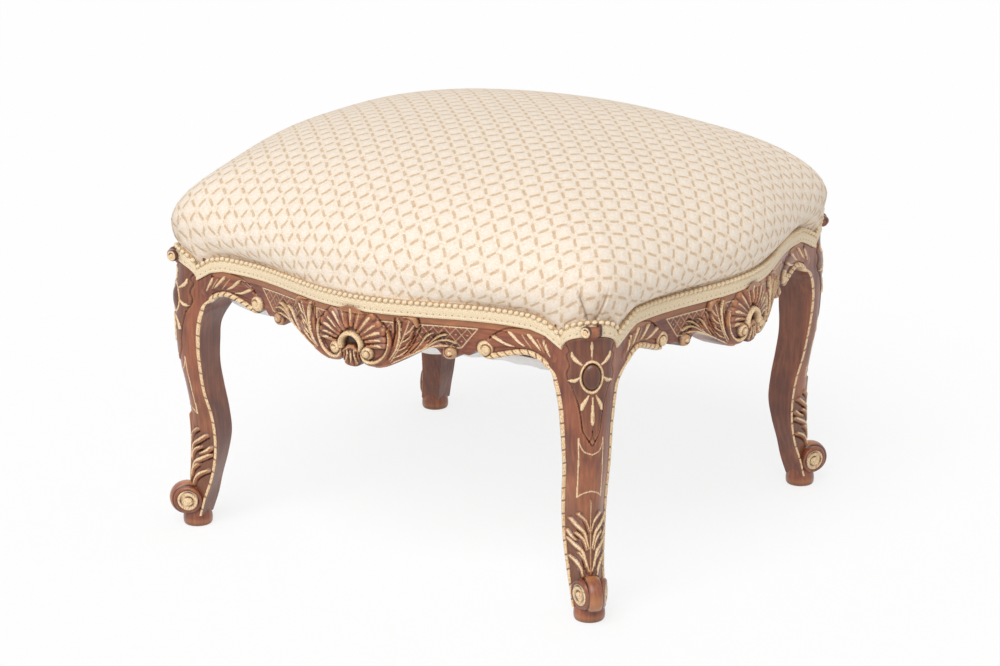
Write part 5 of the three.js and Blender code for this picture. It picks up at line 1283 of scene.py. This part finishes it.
# Braid: a cream and gold gimp glued over the tacks. It has a flat woven strip with pin dots and, along
# its top, a row of small twisted loops that read as beads.
BEAD_PITCH = 6.6
BEAD_HALF_LENGTH = 2.75
BEAD_RADIUS = 2.3
BEAD_OUT = 2.1
BEAD_UP = 14.9
points, edge, normal = plan_outline(330, 90)
length = length_along(points)
around = length[-1] + np.hypot(*(points[0] - points[-1]))
# Out from the show face and up from the show edge, round the section from its lower inner corner
section = [(-1.4, 0.2), (1.0, 0.2), (2.0, 0.8), (2.4, 1.7), (2.2, 2.7), (1.9, 3.6), (2.1, 4.8), (2.3, 6.4),
           (2.4, 8.2), (2.3, 10), (2.0, 11.4), (1.3, 12.4), (1.0, 13.6), (1.0, 15.6), (0.3, 16.8),
           (-1.4, 16.9)]
out, up = np.array(section).T
place_on = points[:, None] + out[None, :, None] * normal[:, None]
grid = np.concatenate([place_on, (edge[:, None] + up)[..., None]], -1)
grid = np.concatenate([grid, grid[:1]])
none = 0 * grid[..., 0]
laid = np.stack([np.append(length, around)[:, None] + 0 * up, up + none, none], -1)
made = Shape()
made.add(grid, closed=False, laid=laid)
count = round(around / BEAD_PITCH)
turn = np.linspace(0, 2 * math.pi, 12, endpoint=False)
ends = np.linspace(-1, 1, 9)
# A loop is fuller at its middle and leans a little, and it follows the slope of the show edge
radius = BEAD_RADIUS * np.sqrt(np.clip(1 - ends ** 2, 0.02, 1))[:, None]
over, stand = radius * np.sin(turn), BEAD_OUT + radius * np.cos(turn)
along_bead = BEAD_HALF_LENGTH * ends[:, None] + 0.2 * over
for number in range(count):
    at = (number + 0.5) * around / count
    x, y, base, out_x, out_y = (
        np.interp(at, length, c, period=around) for c in (*points.T, edge, *normal.T))
    before, ahead = (np.interp(at + step, length, edge, period=around) for step in (-1.5, 1.5))
    lean = math.atan2(ahead - before, 3)
    side = along_bead * math.cos(lean) - over * math.sin(lean)
    high = along_bead * math.sin(lean) + over * math.cos(lean)
    ring = [x + out_x * stand - out_y * side, y + out_y * stand + out_x * side, base + BEAD_UP + high]
    marks = np.stack([at + along_bead, 15 + over, 1 + 0 * over], -1)
    made.add(np.stack(ring, -1), laid=marks)

# Rayon and metal gimp: smooth cream thread with an even satin shine, laid so tight that it looks
# moulded. Gold brown painted shade lies where the loops meet and in the groove under them.
gimp, tree = blank_material("cream_gold_gimp")
place = add(tree, "Attribute", attribute_name="laid").outputs["Vector"]
laid = add(tree, "SeparateXYZ", [place])
along, up, is_bead = laid.outputs
tone = add(tree, "TexNoise", {"Vector": place, "Scale": 0.9, "Detail": 3})
shown = add(tree, "ValToRGB", [tone], [(0.3, "#dfc195"), (0.5, "#efd9b4"), (0.68, "#faeed8")])
# Dots about 1 mm wide, one to each loop, set between the loops: the row just under the loops is painted
# shadow between them, and the row lower down is pin dots.
steps = add(tree, "Math", [along, around / count], operation="DIVIDE")
steps = add(tree, "Math", [steps, 0.5], operation="PINGPONG")
beside_dot = add(tree, "Math", [steps, around / count], operation="MULTIPLY")
dots = []
for row, size in ((4.6, 1.1), (12.9, 1.3)):
    above_dot = add(tree, "Math", [up, row], operation="SUBTRACT")
    corner = add(tree, "CombineXYZ", [beside_dot, above_dot])
    gap = add(tree, "VectorMath", [corner], operation="LENGTH").outputs["Value"]
    dots.append(add(tree, "MapRange", [gap, 0.4 * size, size, 1, 0]))
dots_and_shadow = add(tree, "Math", dots, operation="MAXIMUM")
is_strip = add(tree, "Math", [1, is_bead], operation="SUBTRACT")
dots_and_shadow = add(tree, "Math", [dots_and_shadow, is_strip], operation="MULTIPLY")
patchy = add(tree, "MapRange", [tone, 0.35, 0.6, 0.9, 0.35])
shown_dots_and_shadow = add(tree, "Math", [dots_and_shadow, patchy], operation="MULTIPLY")
shown = add(tree, "Mix", {0: shown_dots_and_shadow, 6: shown, 7: colour("#7d5630")}, data_type="RGBA")
# Painted shade in the groove under the loops.
groove_shade = add(tree, "MapRange", [up, 12.6, 13.8, 0, 0.7])
groove_shade = add(tree, "Math", [groove_shade, is_strip], operation="MULTIPLY")
shown = add(tree, "Mix", {0: groove_shade, 6: shown, 7: colour("#a87e4c")}, data_type="RGBA")
thread = tone
for way, wave, depth in ((along, 4.2, 0.25), (up, 3.1, 0.2)):
    phase = add(tree, "Math", [way, wave], operation="MULTIPLY")
    wave = add(tree, "Math", [phase], operation="SINE")
    thread = add(tree, "Math", [wave, depth, thread], operation="MULTIPLY_ADD")
thread = add(tree, "Math", [thread, dots_and_shadow], operation="SUBTRACT")
raised = add(tree, "Bump", {"Height": thread, "Strength": 0.45, "Distance": 0.0006})
surface = add(tree, "BsdfPrincipled", {
    "Base Color": shown, "Normal": raised, "Roughness": 0.5, "Sheen Weight": 0.15, "Sheen Roughness": 0.4})
add(tree, "OutputMaterial", {"Surface": surface})
made.piece("gimp_braid", gimp, "braid", "braid")

# Bottom cloth: thin white cotton tacked under the battens and the legs' inner corners to catch dust.
# It hangs slack, so it shows under the front rail.
CLOTH_TOP = 261.8
CLOTH_SAG = 51
CLOTH_THICKNESS = 1.2
CLOTH_INSET = 5
# Small drag folds run in from the tacks, and beyond them the slack rolls gently
DRAG_FOLDS = 56
DRAG_DEPTH = 0.9
SLACK_DEPTH = 2
angle = np.linspace(0, 2 * math.pi, 420, endpoint=False)
rim = inner_radius(angle, CLOTH_INSET)


def cloth_height(x, y):
    """The slack cloth with its folds."""
    radius = np.hypot(x, y)
    turn = np.arctan2(y, x)
    share = np.minimum(radius / np.interp(turn, angle, rim, period=2 * math.pi), 1)
    sag = CLOTH_TOP - CLOTH_SAG * (1 - share ** 2) ** 0.68
    fold = np.sin(DRAG_FOLDS * turn + 1.5 * np.sin(5 * turn))
    fold = fold * unit((share - 0.62) / 0.3) * unit((1 - share) / 0.06)
    slack = np.sin(3 * turn + radius / 60) * np.sin(radius / 45) * unit(1 - share)
    return sag + DRAG_DEPTH * fold + SLACK_DEPTH * slack


made = Shape()
grid = sheet_grid(angle, 1 - np.linspace(0, 0.995, 60) ** 1.25, rim, cloth_height, CLOTH_THICKNESS)
made.add(grid, laid=grid)

# Bleached cotton lining: thin, matt and white, with a fine plain weave drawn 1.5 mm apart.
lining, tree = blank_material("bleached_cotton_lining")
place = add(tree, "Attribute", attribute_name="laid").outputs["Vector"]
laid = add(tree, "SeparateXYZ", [place])
waves = []
for way in "XY":
    phase = add(tree, "Math", [laid.outputs[way], 4.19], operation="MULTIPLY")
    waves.append(add(tree, "Math", [phase], operation="SINE"))
crossed = add(tree, "Math", waves, operation="MULTIPLY")
creased = add(tree, "TexNoise", {"Vector": place, "Scale": 0.02, "Detail": 4})
shown = add(tree, "ValToRGB", [creased], [(0.3, "#f8f3ea"), (0.6, "#ffffff")])
height = add(tree, "Math", [creased, 4, crossed], operation="MULTIPLY_ADD")
woven = add(tree, "Bump", {"Height": height, "Strength": 0.3, "Distance": 0.0006})
surface = add(tree, "BsdfPrincipled", {
    "Base Color": shown, "Normal": woven, "Roughness": 0.9, "Sheen Weight": 0.1})
add(tree, "OutputMaterial", {"Surface": surface})
dust_cloth = made.piece("dust_cloth", lining, "lining", "bottom_cloth")

# Studio: a plain pale floor, an even white sky and one broad soft lamp high in front, to the camera's
# left, as in the photograph, where the front is brighter than the right side.
floor_mesh = bpy.data.meshes.new("studio_floor")
floor_mesh.from_pydata([(-9, -9, 0), (9, -9, 0), (9, 9, 0), (-9, 9, 0)], [], [(0, 1, 2, 3)])
floor = bpy.data.objects.new("studio_floor", floor_mesh)
bpy.context.collection.objects.link(floor)


def seen_by_eye(tree):
    """Whether a ray comes from the camera, straight or by way of a gloss or glass, and lights nothing."""
    rays = add(tree, "LightPath").outputs
    seen = add(tree, "Math", [rays["Is Camera Ray"], rays["Is Glossy Ray"]], operation="MAXIMUM")
    return add(tree, "Math", [seen, rays["Is Transmission Ray"]], operation="MAXIMUM")


painted_floor, tree = blank_material("matt_white_floor")
matt = add(tree, "BsdfDiffuse", {"Color": (0.9, 0.9, 0.9, 1)})
bright = add(tree, "Emission", {"Color": (1, 1, 1, 1), "Strength": 1})
white = add(tree, "BsdfDiffuse", {"Color": (1, 1, 1, 1)})
shown = add(tree, "MixShader", [0.78, white, bright])
both = add(tree, "MixShader", [seen_by_eye(tree), matt, shown])
add(tree, "OutputMaterial", {"Surface": both})
floor_mesh.materials.append(painted_floor)

# The sky looks white, and lights the stool with about half of that
SKY_LIGHT = 0.52
sky = bpy.data.worlds.new("white_studio")
sky.use_nodes = True
tree = sky.node_tree
tree.nodes.clear()
strength = add(tree, "MapRange", [seen_by_eye(tree), 0, 1, SKY_LIGHT, 1])
glow = add(tree, "Background", {"Color": (1, 1, 1, 1), "Strength": strength})
add(tree, "OutputWorld", {"Surface": glow})
bpy.context.scene.world = sky

lamp_data = bpy.data.lights.new("soft_lamp", "SUN")
lamp_data.energy = 1.85
lamp_data.angle = math.radians(44)
lamp = bpy.data.objects.new("soft_lamp", lamp_data)
lamp.rotation_euler = (math.radians(42), 0, math.radians(9))
bpy.context.collection.objects.link(lamp)
bpy.context.scene.view_settings.view_transform = "Standard"
